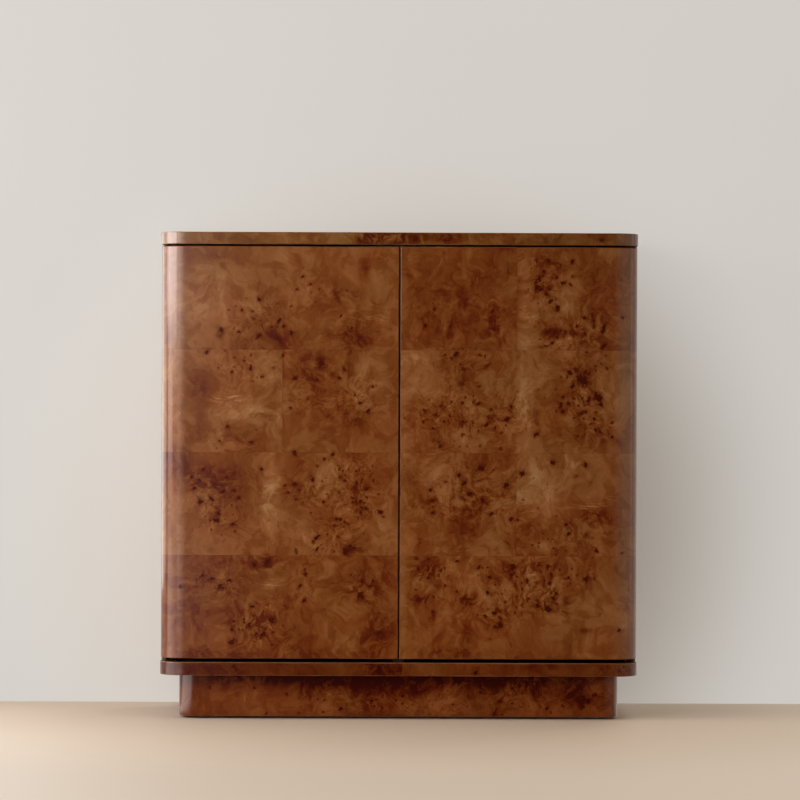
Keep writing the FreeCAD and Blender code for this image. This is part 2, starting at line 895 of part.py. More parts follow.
def build_carcass():
    """Panels, shelves and joints of the case, bored for every fitting they take."""
    dowels, shelf_pegs = upright_dowels(), shelf_dowels()
    screws, screw_holes = back_screws()
    rail_screws, rail_holes = glass_rail_screws()
    bolt_screws, bolt_holes = latch_screws()
    blocks, inserts, brace_screws, brace_holes = braces()
    leaves, pins, collars, leaf_places = [], [], [], []
    for slab_level, door_level, way in pivot_sets():
        leaves.append(pivot_frame_plate(slab_level, way))
        pins.append(pivot_pin(slab_level, door_level, way))
        collars.append(pivot_collar(slab_level, door_level, way))
        leaf_places += pivot_frame_screw_places(slab_level, way)
    leaf_screws, leaf_holes = with_holes(small_screw, leaf_places)
    leaves = [leaf.cut(pins + leaf_holes) for leaf in leaves]
    pivots = both_sides(leaves + pins + leaf_holes)

    back = back_panel()
    export("back_panel", [back.cut(screw_holes)])
    export("back_panel_screws", screws)
    fittings = [back] + dowels + pivots + screw_holes
    top = slab(top_underside, top_thickness).cut(fittings + rail_holes + both_sides(bolt_holes))
    export("top_panel", [top])
    export("bottom_panel", [slab(plinth_top, bottom_thickness).cut(fittings + brace_holes)])
    side = side_panel().cut(pin_holes(side_inside, 1))
    export("right_side_panel", [side.cut([back] + dowels + shelf_pegs + screw_holes)])
    export("left_side_panel", [mirrored(side).cut([back] + dowels + shelf_pegs + screw_holes)])
    bores = pin_holes(partition_face, -1) + pin_holes(-partition_face, 1)
    export("centre_partition", [partition().cut(bores + dowels + shelf_pegs + screw_holes)])
    export("carcass_dowels", dowels + shelf_pegs)

    export("right_fixed_shelf", [fixed_shelf().cut(shelf_pegs)])
    export("left_fixed_shelf", [mirrored(fixed_shelf()).cut(shelf_pegs)])
    export("right_adjustable_shelf", [adjustable_shelf()])
    export("left_adjustable_shelf", [mirrored(adjustable_shelf())])
    export("shelf_pins", shelf_pins())
    export("glass_rails", [rail.cut(rail_holes) for rail in glass_rails()])
    export("glass_rail_screws", rail_screws)
    uprights, shelves = bottle_boards()
    export("bottle_rack_uprights", uprights)
    export("bottle_rack_shelves", shelves)

    export("pivot_frame_plates", both_sides(leaves))
    export("pivot_frame_screws", both_sides(leaf_screws))
    export("pivot_pins", both_sides(pins))
    export("pivot_collars", both_sides(collars))
    export("latch_bodies", both_sides([latch_body().cut(bolt_holes)]))
    export("latch_screws", both_sides(bolt_screws))
    export("door_bumpers", bumpers())

    for name, rail in plinth_rails().items():
        export(name, [rail])
    export("plinth_braces", blocks)
    export("plinth_screws", brace_screws)
    export("foot_inserts", inserts)


def build_feet():
    """The four levelling feet, each free to be screwed in or out."""
    for name, (x_span, y_span) in zip(("front", "back"), brace_spans()):
        foot = levelling_foot(x_span, y_span)
        export(f"{name}_right_foot", [foot])
        export(f"{name}_left_foot", [mirrored(foot)])


def build_doors():
    """Both doors with their leaves, strikes and racks, and the latch plungers that meet them."""
    leaves, bores, places = [], [], []
    for _, door_level, way in pivot_sets():
        leaves.append(pivot_door_plate(door_level, way))
        bores.append(pivot_door_bore(door_level, way))
        places += pivot_door_screw_places(door_level, way)
    screws, holes = with_holes(small_screw, places)
    leaves = [leaf.cut(bores + holes) for leaf in leaves]
    strike, spline = latch_strike(), door_spline()
    dowels = [dowel for level in rack_levels for dowel in rack_dowels(level)]
    rails = [rack_rail(level) for level in rack_levels]
    flat, corner = door_halves()
    pieces = {
        "door_panel": [flat.cut([spline, strike] + dowels)],
        "door_corner": [corner.cut([spline] + leaves + bores + holes)],
        "door_spline": [spline],
        "door_pivot_plates": leaves,
        "door_pivot_screws": screws,
        "door_strike": [strike],
        "door_rack_bases": [rack_base(level).cut(dowels) for level in rack_levels],
        "door_rack_ends": [end.cut(dowels + rails) for level in rack_levels for end in rack_ends(level)],
        "door_rack_rails": rails,
        "door_rack_dowels": dowels,
        "latch_plunger": [latch_plunger()],
    }
    for name, solids in pieces.items():
        export(f"right_{name}", solids)
        export(f"left_{name}", [mirrored(solid) for solid in solids])


os.makedirs("parts", exist_ok=True)
build_carcass()
build_feet()
build_doors()
print("cabinet", cabinet_width, cabinet_depth, cabinet_height)
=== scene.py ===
"""Looks of the bar armoire: burl veneer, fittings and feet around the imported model. Lengths are in metres."""

import math

import bmesh
import bpy
import numpy as np
from mathutils import Matrix, Vector


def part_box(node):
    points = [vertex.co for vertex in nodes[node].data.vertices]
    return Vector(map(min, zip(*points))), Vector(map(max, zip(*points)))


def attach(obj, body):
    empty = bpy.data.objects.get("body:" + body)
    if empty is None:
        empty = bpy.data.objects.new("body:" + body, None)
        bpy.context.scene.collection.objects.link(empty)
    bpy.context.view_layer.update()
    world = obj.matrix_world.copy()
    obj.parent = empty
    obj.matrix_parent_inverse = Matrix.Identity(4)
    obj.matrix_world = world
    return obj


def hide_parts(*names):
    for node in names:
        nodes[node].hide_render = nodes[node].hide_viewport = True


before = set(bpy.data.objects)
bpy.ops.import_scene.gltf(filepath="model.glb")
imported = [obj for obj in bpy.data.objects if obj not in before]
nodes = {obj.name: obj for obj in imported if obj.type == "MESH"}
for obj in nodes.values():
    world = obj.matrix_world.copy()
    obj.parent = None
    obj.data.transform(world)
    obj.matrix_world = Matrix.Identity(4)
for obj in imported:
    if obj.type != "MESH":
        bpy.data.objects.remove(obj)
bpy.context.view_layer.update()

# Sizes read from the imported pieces.
top_low, top_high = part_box("top_panel")
bottom_low, bottom_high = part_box("bottom_panel")
flat_low, flat_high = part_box("right_door_panel")
corner_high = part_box("right_door_corner")[1]
side_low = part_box("right_side_panel")[0]
rail_low, rail_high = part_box("plinth_front_rail")
plinth_side_low, plinth_side_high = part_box("plinth_right_rail")
partition_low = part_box("centre_partition")[0]

corner_start = flat_high.x
door_face = flat_low.y
door_radius = corner_high.x - corner_start
slab_radius = top_high.x - corner_start
door_bottom = flat_low.z
door_top = flat_high.z
door_inside = flat_high.y
free_edge = flat_low.x
corner_middle = door_face + door_radius
door_thickness = door_inside - door_face
plinth_straight = rail_high.x
plinth_radius = plinth_side_high.x - plinth_straight

quarter = math.pi / 2
# How far past a face still counts as that face.
face_margin = 0.0005

# The veneer's leaves on each door: four rows and two columns.
leaf_rows = 4
leaf_height = (door_top - door_bottom) / leaf_rows
leaf_joint = 0.248

# The sheets of veneer: how far they stop short of an edge, stand proud and are thick, how fine their meshes
# are, and how far the plinth's sheet stops short of its bottom and its top.
edge_ease = 0.0015
veneer_proud = 0.0001
veneer_thickness = 0.0003
veneer_grid = 0.0034
edge_grid = 0.005
plinth_grid = 0.004
plinth_ease = (0.001, 0.0003)
# Edges that turn by more than this are shaded as edges.
sharp_angle = math.radians(35)

# The lines where leaves meet fade between these two distances.
door_joint = (0.0007, 0.0002)
case_joint = (0.0006, 0.0002)

# Eyes are told by their distance in radii, so one that is far away or hidden doesn't show.
no_eye = 4.0
eye_hidden = 6.0
# Depth over which the listed figure gives way to the wild one.
wild_blend = 0.02

# Figure of the veneer, in millimetres from the middle of the front and up from the floor.
# Eyes: across, up, radius. Curls: across, up, spread across, spread up, strength.
# Clouds are like curls, with a tone for a strength, and so are ripples, the places with pale streaks. Some
# clouds on the plinth and the right door are painted shade and painted sheen, marked where they stand.
left_eyes = [
    (-207, 940, 3.5), (-190, 924, 3), (-171, 915, 3.5), (-298, 891, 4.5), (-334, 868, 4), (-312, 867, 3.5),
    (-311, 851, 3.5), (-341, 823, 4), (-256, 846, 5), (-229, 822, 4.5), (-297, 815, 4.5), (-379, 827, 4.5),
    (-247, 835, 4), (-248, 773, 4), (-315, 746, 4), (-408, 780, 4), (-167, 758, 5.5), (-221, 724, 6),
    (-177, 722, 5), (-117, 744, 3.5), (-128, 726, 4), (-57, 708, 4), (-84, 673, 4), (-67, 657, 4),
    (-231, 661, 4), (-364, 622, 4.5), (-316, 588, 5), (-381, 591, 4), (-195, 680, 3), (-95, 690, 3),
    (-330, 762, 3), (-355, 738, 3), (-290, 728, 3), (-423, 508, 4), (-435, 490, 3.5), (-421, 462, 6),
    (-398, 469, 4.5), (-365, 514, 4), (-374, 484, 4), (-340, 471, 5.5), (-387, 423, 7.5), (-354, 415, 6),
    (-292, 532, 4), (-222, 500, 5), (-184, 510, 4.5), (-160, 462, 4), (-69, 491, 5), (-71, 450, 4),
    (-81, 465, 3.5), (-174, 388, 5.5), (-174, 363, 4), (-104, 371, 4.5), (-113, 357, 7), (-133, 427, 5),
    (-40, 442, 6), (-222, 566, 5), (-141, 564, 4), (-396, 299, 5), (-360, 296, 4), (-379, 283, 4.5),
    (-415, 307, 3.5), (-306, 329, 4.5), (-278, 336, 7.5), (-464, 283, 4), (-311, 241, 5), (-327, 206, 4),
    (-269, 212, 7), (-355, 193, 4), (-355, 165, 6), (-317, 199, 4), (-288, 183, 6), (-198, 310, 4),
    (-210, 284, 4), (-201, 253, 4), (-83, 264, 7), (-61, 284, 4), (-415, 531, 3.5), (-440, 515, 3.5),
    (-350, 486, 3.5), (-383, 437, 4), (-350, 523, 3), (-235, 482, 4), (-350, 210, 3.5), (-301, 248, 3.5),
]
right_eyes = [
    (315, 975, 4), (306, 954, 4), (296, 939, 4), (291, 920, 6), (300, 915, 5), (310, 905, 4.5),
    (319, 890, 4.5), (334, 876, 5), (366, 975, 4), (367, 943, 4.5), (344, 929, 4), (362, 926, 3),
    (392, 855, 4.5), (375, 837, 4), (411, 837, 4), (433, 837, 4.5), (430, 827, 4.5), (324, 802, 5),
    (431, 795, 5), (473, 856, 4), (73, 873, 4), (55, 837, 4.5), (108, 837, 3), (196, 868, 3),
    (200, 829, 4), (120, 778, 5), (184, 752, 4), (140, 685, 4), (88, 666, 4), (78, 648, 4.5),
    (167, 673, 3.5), (236, 666, 4), (184, 627, 5), (228, 639, 6), (386, 725, 12), (361, 739, 6),
    (367, 710, 4.5), (422, 685, 9), (400, 679, 5), (428, 671, 5), (342, 671, 5), (359, 673, 4.5),
    (347, 656, 5), (386, 652, 4), (413, 641, 4), (450, 603, 4), (416, 617, 4), (290, 608, 5),
    (175, 535, 7), (227, 500, 7), (149, 481, 6), (177, 468, 5), (138, 504, 5), (237, 427, 5),
    (197, 439, 4), (99, 506, 4), (70, 466, 4), (325, 548, 6), (395, 545, 5), (374, 518, 4), (261, 524, 6),
    (355, 417, 5), (360, 397, 4), (419, 361, 5), (397, 395, 4), (474, 357, 4), (62, 342, 5), (124, 338, 5),
    (169, 325, 4), (192, 304, 4), (242, 326, 7), (242, 311, 5), (204, 229, 6), (215, 202, 6),
    (184, 222, 5), (189, 272, 4), (317, 328, 4), (360, 304, 4), (397, 301, 7), (320, 293, 4),
    (329, 276, 4), (328, 261, 4.5), (316, 237, 7), (295, 245, 4.5), (273, 298, 4), (468, 193, 4.5),
    (72, 232, 3), (128, 522, 4.5), (66, 489, 3.5), (71, 440, 4), (205, 288, 3.5), (37, 344, 3.5),
]
left_curls = [
    (-300, 850, 70, 50, 0.7), (-190, 925, 40, 35, 0.5), (-120, 870, 60, 50, 0.35),
    (-110, 815, 60, 30, 0.4), (-330, 750, 80, 45, 0.65), (-180, 730, 70, 50, 0.6), (-90, 690, 60, 60, 0.8),
    (-200, 670, 50, 30, 0.5), (-380, 600, 60, 25, 0.5), (-310, 590, 40, 20, 0.5), (-400, 480, 60, 45, 0.7),
    (-370, 420, 50, 30, 0.7), (-180, 490, 70, 60, 0.8), (-80, 470, 60, 60, 0.9), (-160, 380, 70, 40, 0.7),
    (-100, 540, 60, 30, 0.6), (-390, 290, 50, 40, 0.7), (-290, 335, 50, 30, 0.6), (-300, 205, 60, 50, 0.9),
    (-200, 285, 30, 50, 0.5), (-85, 270, 50, 40, 0.7),
]
right_curls = [
    (305, 930, 55, 70, 0.9), (400, 830, 60, 40, 0.8), (90, 850, 60, 50, 0.5), (205, 850, 40, 50, 0.5),
    (330, 800, 50, 25, 0.5), (385, 700, 60, 70, 1.0), (110, 650, 110, 70, 0.95), (150, 760, 70, 40, 0.6),
    (240, 650, 40, 50, 0.7), (420, 620, 50, 30, 0.6), (180, 490, 90, 60, 1.0), (80, 470, 60, 60, 0.8),
    (330, 540, 80, 25, 0.6), (390, 400, 60, 50, 0.7), (240, 430, 60, 40, 0.6), (320, 370, 50, 25, 0.5),
    (240, 300, 80, 50, 0.9), (320, 270, 60, 60, 0.9), (70, 300, 60, 50, 0.6), (200, 220, 50, 40, 0.8),
    (400, 310, 30, 30, 0.5),
]
left_clouds = [
    (-420, 900, 60, 70, 0.1), (-257, 808, 32, 24, -0.2), (-125, 890, 50, 30, -0.14),
    (-91, 808, 42, 22, -0.25), (-75, 954, 12, 22, -0.2), (-430, 707, 26, 36, -0.24),
    (-250, 740, 14, 40, -0.1), (-168, 757, 14, 24, -0.16), (-320, 650, 70, 25, 0.14),
    (-130, 640, 60, 25, -0.12), (-380, 510, 60, 30, -0.18), (-271, 505, 18, 40, 0.15),
    (-277, 455, 22, 40, 0.14), (-290, 405, 28, 32, 0.09), (-420, 400, 50, 30, 0.02),
    (-100, 430, 50, 40, -0.08), (-94, 370, 28, 16, -0.24), (-279, 336, 11, 13, -0.16),
    (-60, 290, 50, 50, -0.12), (-48, 184, 34, 28, -0.26), (-430, 220, 40, 60, -0.09),
    (-270, 288, 40, 10, 0.14), (-160, 210, 60, 40, 0.06), (-381, 820, 8, 18, -0.16),
    (-480, 560, 50, 55, -0.14), (-450, 770, 25, 25, -0.1), (-241, 750, 5, 40, 0.12),
    (-413, 500, 40, 38, -0.12), (-297, 505, 6, 38, -0.14), (-243, 495, 6, 30, -0.08),
    # The clouds 138 mm up, here on the left door and also among the right door's clouds, darken a band along
    # the bottom of each door.
    (-400, 138, 90, 16, -0.1), (-230, 138, 90, 16, -0.1), (-70, 138, 80, 16, -0.08),
    (-48, 700, 14, 50, 0.07), (-13, 850, 10, 90, -0.06), (-13, 690, 9, 60, -0.08),
    (-13, 490, 10, 70, -0.06),
]
right_clouds_and_sheen = [
    (270, 890, 18, 90, 0.18), (360, 885, 18, 60, 0.1), (275, 815, 16, 22, 0.1), (418, 930, 38, 60, -0.1),
    (150, 930, 90, 50, -0.06), (107, 820, 14, 26, -0.16), (138, 889, 5, 16, -0.14),
    (196, 850, 10, 34, -0.18), (234, 954, 6, 16, -0.12), (300, 868, 35, 6, -0.12),
    (345, 856, 25, 8, -0.12), (330, 824, 45, 9, -0.22), (372, 818, 40, 8, -0.12), (303, 792, 20, 5, -0.15),
    (420, 860, 40, 20, -0.1), (38, 768, 26, 20, 0.16), (92, 770, 20, 18, -0.17), (101, 726, 8, 20, -0.2),
    (133, 716, 12, 16, -0.17), (190, 688, 22, 8, -0.12), (238, 677, 7, 18, -0.22),
    (265, 670, 16, 90, 0.16), (305, 755, 18, 35, 0.14), (300, 690, 30, 40, 0.06), (293, 635, 6, 25, -0.15),
    (373, 750, 16, 14, -0.15), (395, 598, 70, 22, -0.14), (300, 490, 46, 40, 0.16),
    (290, 535, 35, 25, 0.08), (423, 426, 28, 22, -0.3), (150, 405, 35, 45, -0.13), (78, 392, 15, 35, 0.08),
    (42, 380, 6, 22, -0.14), (235, 382, 16, 18, -0.2), (283, 398, 25, 14, -0.18), (308, 368, 34, 14, 0.18),
    (57, 322, 30, 22, -0.24), (45, 257, 28, 13, -0.26), (140, 257, 24, 18, -0.24), (74, 225, 5, 20, -0.22),
    (143, 180, 12, 45, -0.1), (110, 142, 50, 8, -0.12), (320, 330, 80, 14, -0.13),
    (353, 240, 8, 28, -0.17), (398, 192, 16, 6, -0.22), (378, 174, 7, 4, -0.15), (420, 260, 45, 55, 0.11),
    (300, 200, 60, 30, 0.05), (250, 210, 30, 25, 0.08), (484, 210, 15, 120, 0.1), (484, 950, 15, 70, 0.09),
    # The clouds 8 mm from the middle, on this line and the next, are a painted sheen along the right door's
    # free edge.
    (70, 138, 80, 14, -0.06), (230, 138, 90, 14, -0.06), (8, 640, 9, 160, 0.09), (8, 270, 9, 170, 0.11),
    (8, 890, 9, 70, 0.04), (130, 240, 110, 90, -0.03), (400, 200, 80, 60, 0.03),
]
left_ripples = [
    (-370, 684, 45, 12, 1.0), (-275, 290, 35, 10, 0.9), (-290, 574, 70, 8, 0.8), (-70, 850, 50, 25, 0.5),
]
right_ripples = [
    (400, 450, 45, 11, 1.0), (435, 470, 30, 9, 0.8), (275, 840, 22, 40, 0.6), (120, 360, 60, 8, 0.5),
]
left_figure = {"eyes": left_eyes, "curls": left_curls, "clouds": left_clouds, "ripples": left_ripples}
right_figure = {"eyes": right_eyes, "curls": right_curls, "clouds": right_clouds_and_sheen, "ripples": right_ripples}
top_edge_figure = {
    "eyes": [
        (-85, 1018, 3), (-60, 1024, 3), (108, 1026, 4), (428, 1020, 3.5),
    ],
    "curls": [
        (-60, 1022, 50, 15, 0.6), (40, 1022, 70, 15, 0.45), (110, 1024, 25, 12, 0.6),
        (300, 1022, 150, 15, 0.15),
    ],
    "clouds": [
        (-60, 1022, 50, 20, -0.2), (20, 1022, 60, 20, -0.14), (105, 1026, 40, 14, -0.12),
        (430, 1020, 14, 10, -0.1),
    ],
    "ripples": [],
}
bottom_edge_figure = {
    "eyes": [
        (-343, 108, 3), (-60, 112, 3), (-20, 106, 3), (5, 110, 3), (164, 101, 4), (430, 110, 3),
        (445, 115, 3), (470, 106, 3.5),
    ],
    "curls": [
        (-45, 108, 50, 20, 0.8), (-343, 108, 22, 15, 0.6), (455, 108, 45, 20, 0.8),
        (164, 100, 15, 12, 0.7), (-200, 108, 60, 14, 0.25), (300, 108, 60, 14, 0.2),
    ],
    "clouds": [
        (-250, 108, 80, 30, -0.03), (-120, 108, 30, 30, 0.08), (-20, 104, 40, 12, -0.12),
        (60, 108, 60, 30, 0.1), (200, 108, 50, 30, 0.06), (300, 113, 60, 8, -0.14),
        (435, 104, 30, 14, 0.1), (-440, 108, 45, 30, -0.12),
    ],
    "ripples": [],
}
plinth_figure_and_shade = {
    "eyes": [
        (-124, 21, 4), (-134, 32, 3), (-57, 38, 4), (-160, 14, 3), (204, 11, 3.5), (218, 38, 4),
        (405, 38, 4.5), (395, 28, 4), (-281, 11, 3), (-97, 32, 3.5), (418, 52, 4), (318, 25, 3.5),
        (-345, 80, 4), (-238, 52, 3),
    ],
    "curls": [
        (-200, 50, 120, 40, 0.5), (-60, 40, 110, 35, 0.7), (110, 40, 110, 35, 0.6), (260, 45, 90, 40, 0.7),
        (400, 50, 50, 45, 0.8), (-370, 75, 60, 25, 0.5),
    ],
    "clouds": [
        # The dark clouds along the top, 84 to 93 mm up, are partly the veneer's dark figure and partly painted
        # shade under the bottom panel's overhang.
        (-330, 93, 50, 13, -0.4), (-250, 92, 45, 17, -0.46), (-170, 90, 60, 24, -0.54),
        (-90, 88, 50, 26, -0.54), (-20, 86, 45, 30, -0.5), (45, 84, 30, 36, -0.54),
        (110, 90, 50, 24, -0.54), (190, 90, 50, 24, -0.52), (285, 86, 40, 34, -0.52),
        (372, 70, 22, 34, -0.42), (392, 40, 14, 14, -0.3), (-385, 88, 22, 12, -0.3),
        (-435, 85, 16, 12, -0.25), (430, 93, 40, 8, -0.3), (-330, 40, 60, 30, 0.08),
        (445, 50, 16, 40, -0.1), (60, 35, 80, 22, 0.1), (-120, 30, 80, 20, 0.08), (240, 30, 60, 20, 0.06),
    ],
    "ripples": [],
}
# Tone of each leaf, row by row from the top, outer leaf first. A row with one tone is a single leaf.
left_tones = [(0.04,), (0.07, 0.02), (0.03,), (-0.05,)]
right_tones = [(-0.03, -0.04), (0.02,), (0.02, 0.02), (-0.03,)]
# Where the two leaves of an edge meet. The plinth has no joint, so its own lies past its end.
top_edge_joint = -0.0997
bottom_edge_joint = 0.010
no_joint = -1.0


# Small helpers for node trees.


def sum_of(operation):
    """An operator that adds a node for its sum."""
    return lambda *values: calc(operation, *values)


class Wire:
    """A value that comes out of a node. Sums on wires add the nodes that work them out."""

    def __init__(self, socket):
        self.socket = socket
        self.tree = socket.id_data
        self.is_vector = socket.type in ("VECTOR", "RGBA")

    __add__ = sum_of("ADD")
    __sub__ = sum_of("SUBTRACT")
    __mul__ = sum_of("MULTIPLY")
    __truediv__ = sum_of("DIVIDE")
    __abs__ = sum_of("ABSOLUTE")

    def __rsub__(self, other):
        return calc("SUBTRACT", other, self)


class Outputs:
    """The outputs of one node as wires, by name or by number."""

    def __init__(self, node):
        self.node = node

    def __getitem__(self, name):
        return Wire(self.node.outputs[name])


def feed(socket, value):
    """Sets a socket, or links it where the value comes out of another node."""
    if isinstance(value, Wire):
        value.tree.links.new(value.socket, socket)
    else:
        socket.default_value = value


def put(tree, kind, inputs=(), **settings):
    """Adds one node with its settings and its inputs."""
    node = tree.nodes.new(kind)
    for name, value in settings.items():
        setattr(node, name, value)
    for name, value in dict(inputs).items():
        feed(node.inputs[name], value)
    return node


def made(tree, kind, inputs=(), output=0, **settings):
    """One output of a new node."""
    return Wire(put(tree, kind, inputs, **settings).outputs[output])


def tree_of(*values):
    """The tree of the first wire among some values."""
    return next(value.tree for value in values if isinstance(value, Wire))


def calc(operation, *values, **settings):
    """One sum: on vectors where a wire carries vectors, and else on numbers."""
    on_vectors = any(isinstance(value, Wire) and value.is_vector for value in values)
    kind = "ShaderNodeVectorMath" if on_vectors else "ShaderNodeMath"
    return made(tree_of(*values), kind, enumerate(values), operation=operation, **settings)


def scaled(vector, amount):
    """A vector times a number."""
    inputs = {0: vector, "Scale": amount}
    return made(tree_of(vector, amount), "ShaderNodeVectorMath", inputs, operation="SCALE")


def parts(vector):
    """The three parts of a vector."""
    return [Wire(socket) for socket in put(vector.tree, "ShaderNodeSeparateXYZ", {"Vector": vector}).outputs]


def noise(vector, scale, detail=2.0, roughness=0.5, distortion=0.0):
    """A noise texture: its value, then its colour."""
    inputs = {"Vector": vector, "Scale": scale, "Detail": detail}
    inputs.update({"Roughness": roughness, "Distortion": distortion})
    return Outputs(put(vector.tree, "ShaderNodeTexNoise", inputs))


def pushed(place, push, amount):
    """A place moved by a noise's colour."""
    return place + scaled(push - (0.5, 0.5, 0.5), amount)


def cells(vector, scale):
    """Scattered cells: how far the middle of the nearest one is, and two random numbers of its own."""
    outputs = Outputs(put(vector.tree, "ShaderNodeTexVoronoi", {"Vector": vector, "Scale": scale}))
    first, second, _ = parts(outputs["Color"])
    return outputs["Distance"], first, second


def rise(value, low, high, to_low=0.0, to_high=1.0):
    """A soft step between two values."""
    inputs = {"Value": value, "From Min": low, "From Max": high, "To Min": to_low, "To Max": to_high}
    return made(value.tree, "ShaderNodeMapRange", inputs, interpolation_type="SMOOTHSTEP")


def span(value, to_low, to_high):
    """A value from 0 to 1, spread over another range."""
    return made(value.tree, "ShaderNodeMapRange", {"Value": value, "To Min": to_low, "To Max": to_high})


def blend_colours(share, first, second, blend="MIX"):
    """Mixes two colours."""
    tree = tree_of(share, first, second)
    inputs = {0: share, 6: first, 7: second}
    return made(tree, "ShaderNodeMix", inputs, output=2, data_type="RGBA", blend_type=blend)


def shades(value, stops):
    """A colour picked along a row of colours."""
    node = put(value.tree, "ShaderNodeValToRGB", {"Fac": value})
    elements = node.color_ramp.elements
    while len(elements) < len(stops):
        elements.new(0.5)
    for element, (place, colour) in zip(elements, stops):
        element.position = place
        element.color = (*colour, 1.0)
    return Wire(node.outputs[0])


def start_group(name, takes, gives):
    """A shader group. It takes numbers, or a vector where no number is given to start from."""
    group = bpy.data.node_groups.new(name, "ShaderNodeTree")
    for label, start in takes.items():
        kind = "NodeSocketVector" if start is None else "NodeSocketFloat"
        socket = group.interface.new_socket(label, in_out="INPUT", socket_type=kind)
        if start is not None:
            socket.default_value = start
    for label in gives:
        kind = "NodeSocketColor" if label == "Color" else "NodeSocketFloat"
        group.interface.new_socket(label, in_out="OUTPUT", socket_type=kind)
    return group, Outputs(put(group, "NodeGroupInput")), put(group, "NodeGroupOutput").inputs


def give(result, **values):
    """Feeds the outputs of a group."""
    for name, value in values.items():
        feed(result[name], value)


def use(group, **inputs):
    """Places a shared effect in the tree that its inputs come from."""
    return Outputs(put(tree_of(*inputs.values()), "ShaderNodeGroup", inputs, node_tree=group))


def start_tree(owner):
    """The node tree of a material or a world, emptied."""
    owner.use_nodes = True
    owner.node_tree.nodes.clear()
    return owner.node_tree


def start_material(name):
    """A material with one shader."""
    material = bpy.data.materials.new(name)
    tree = start_tree(material)
    shader = put(tree, "ShaderNodeBsdfPrincipled")
    put(tree, "ShaderNodeOutputMaterial", {"Surface": Wire(shader.outputs[0])})
    return material, tree, shader.inputs


def object_place(tree):
    """The piece's own coordinates."""
    return made(tree, "ShaderNodeTexCoord", output="Object")


# Shared effects.


def make_burl_figure():
    """Colour and relief of burl veneer: clouds, feathers, curls, eyes and pale streaks."""
    takes = {"Vector": None, "Leaf": 0.0, "Tone": 0.0, "Curl": 0.5, "Eye": no_eye, "Ripple": 0.0}
    group, given, result = start_group("burl figure", takes, ["Color", "Mark", "Relief"])
    curl = given["Curl"]
    place = given["Vector"] + scaled((1.7, 2.3, 3.1), given["Leaf"])
    bent = pushed(place, noise(place, 9.0)[1], 0.10)
    curled = pushed(bent, noise(bent, 40.0)[1], 0.020)

    broad = noise(bent * (1.0, 1.0, 0.6), 9.0, 3.0)[0]
    warmth = noise(bent + (5.0, 2.0, 7.0), 11.0)[0]
    feather = noise(curled * (1.0, 1.0, 0.4), 48.0, 4.0, 0.6)[0]
    mottle = noise(curled, 50.0, 3.0, 0.55, 0.6)[0]
    patch = rise(noise(curled, 21.0, 3.0, 0.55, 0.8)[0], 0.45, 0.55)
    fine_patch = rise(noise(curled, 62.0, 2.0, 0.5, 1.0)[0], 0.44, 0.56)
    vein = noise(curled, 40.0, 1.5)[0]
    fibre = noise(curled * (1.0, 1.0, 0.15), 700.0)[0]

    curl_mark = rise(mottle, 0.50, 0.66) * curl
    pale_curl = rise(mottle, 0.46, 0.32) * curl
    dark_vein = rise(abs(vein - 0.56), 0.022, 0.004) * curl
    pale_vein = rise(abs(vein - 0.45), 0.020, 0.004) * curl

    fray = noise(place, 170.0)
    distance, chance, order = cells(pushed(place, fray[1], 0.010), 85.0)
    inside = rise(distance - span(chance, 0.08, 0.34), 0.09, -0.08)
    speck = inside * rise(curl * 0.55 - order, 0.0, 0.15)

    reach = given["Eye"] + span(fray[0], -0.95, 0.95)
    core = rise(reach, 1.15, 0.65)
    halo = rise(reach, 2.6, 0.8)

    lane = noise(bent * (0.10, 0.10, 1.0), 230.0)[0]
    stray = rise(noise(place, 13.0, 1.0)[0], 0.66, 0.80, 0.0, 0.27)
    streak = rise(lane, 0.53, 0.65) * calc("MAXIMUM", stray, given["Ripple"])

    tone = broad * 0.55 + 0.236
    for pattern, amount in [
        (feather, span(curl, 0.28, 0.48)),
        (patch, 0.10),
        (fine_patch, span(curl, 0.02, 0.12)),
        (fibre, 0.05),
    ]:
        tone += (pattern - 0.5) * amount
    tone += given["Tone"] * rise(mottle, 0.38, 0.62, 0.5, 1.5)
    for mask, amount in [
        (curl_mark, -0.19),
        (pale_curl, 0.10),
        (dark_vein, -0.11),
        (pale_vein, 0.06),
        (speck, -0.24),
        (halo, -0.11),
        (streak, 0.30),
    ]:
        tone += mask * amount
    stops = [
        (0.05, (0.062, 0.0040, 0.0001)),
        (0.30, (0.115, 0.0165, 0.0003)),
        (0.50, (0.188, 0.0525, 0.0085)),
        (0.68, (0.266, 0.0985, 0.0285)),
        (0.95, (0.400, 0.2030, 0.0880)),
    ]
    redder = (1.015, 0.97, 0.93, 1.0)
    yellower = (0.985, 1.04, 1.04, 1.0)
    tint = blend_colours(rise(warmth, 0.35, 0.65), redder, yellower)
    colour = blend_colours(1.0, shades(tone, stops), tint, "MULTIPLY")
    mark = calc("MAXIMUM", core, speck * 0.40)
    marked = blend_colours(mark, colour, (0.050, 0.0044, 0.0001, 1.0))
    give(result, Color=marked, Mark=mark, Relief=feather - mark * 0.6)
    return group


def make_leaf_plan():
    """Which leaf of veneer a place belongs to, and the thin lines where leaves meet."""
    takes = {"Across": 0.0, "Along": 0.0, "Width": 0.25, "Height": 0.22}
    group, given, result = start_group("leaf plan", takes, ["Leaf", "Tone", "Joint"])
    column = given["Across"] / given["Width"]
    row = given["Along"] / given["Height"]
    leaf = calc("FLOOR", column) * 1.91 + (calc("FLOOR", row) * 3.77 + 11.0)
    from_column = calc("PINGPONG", column, 0.5) * given["Width"]
    from_row = calc("PINGPONG", row, 0.5) * given["Height"]
    joint = rise(calc("MINIMUM", from_column, from_row), *case_joint)
    give(result, Leaf=leaf, Tone=calc("SINE", leaf * 5.1) * 0.05, Joint=joint)
    return group


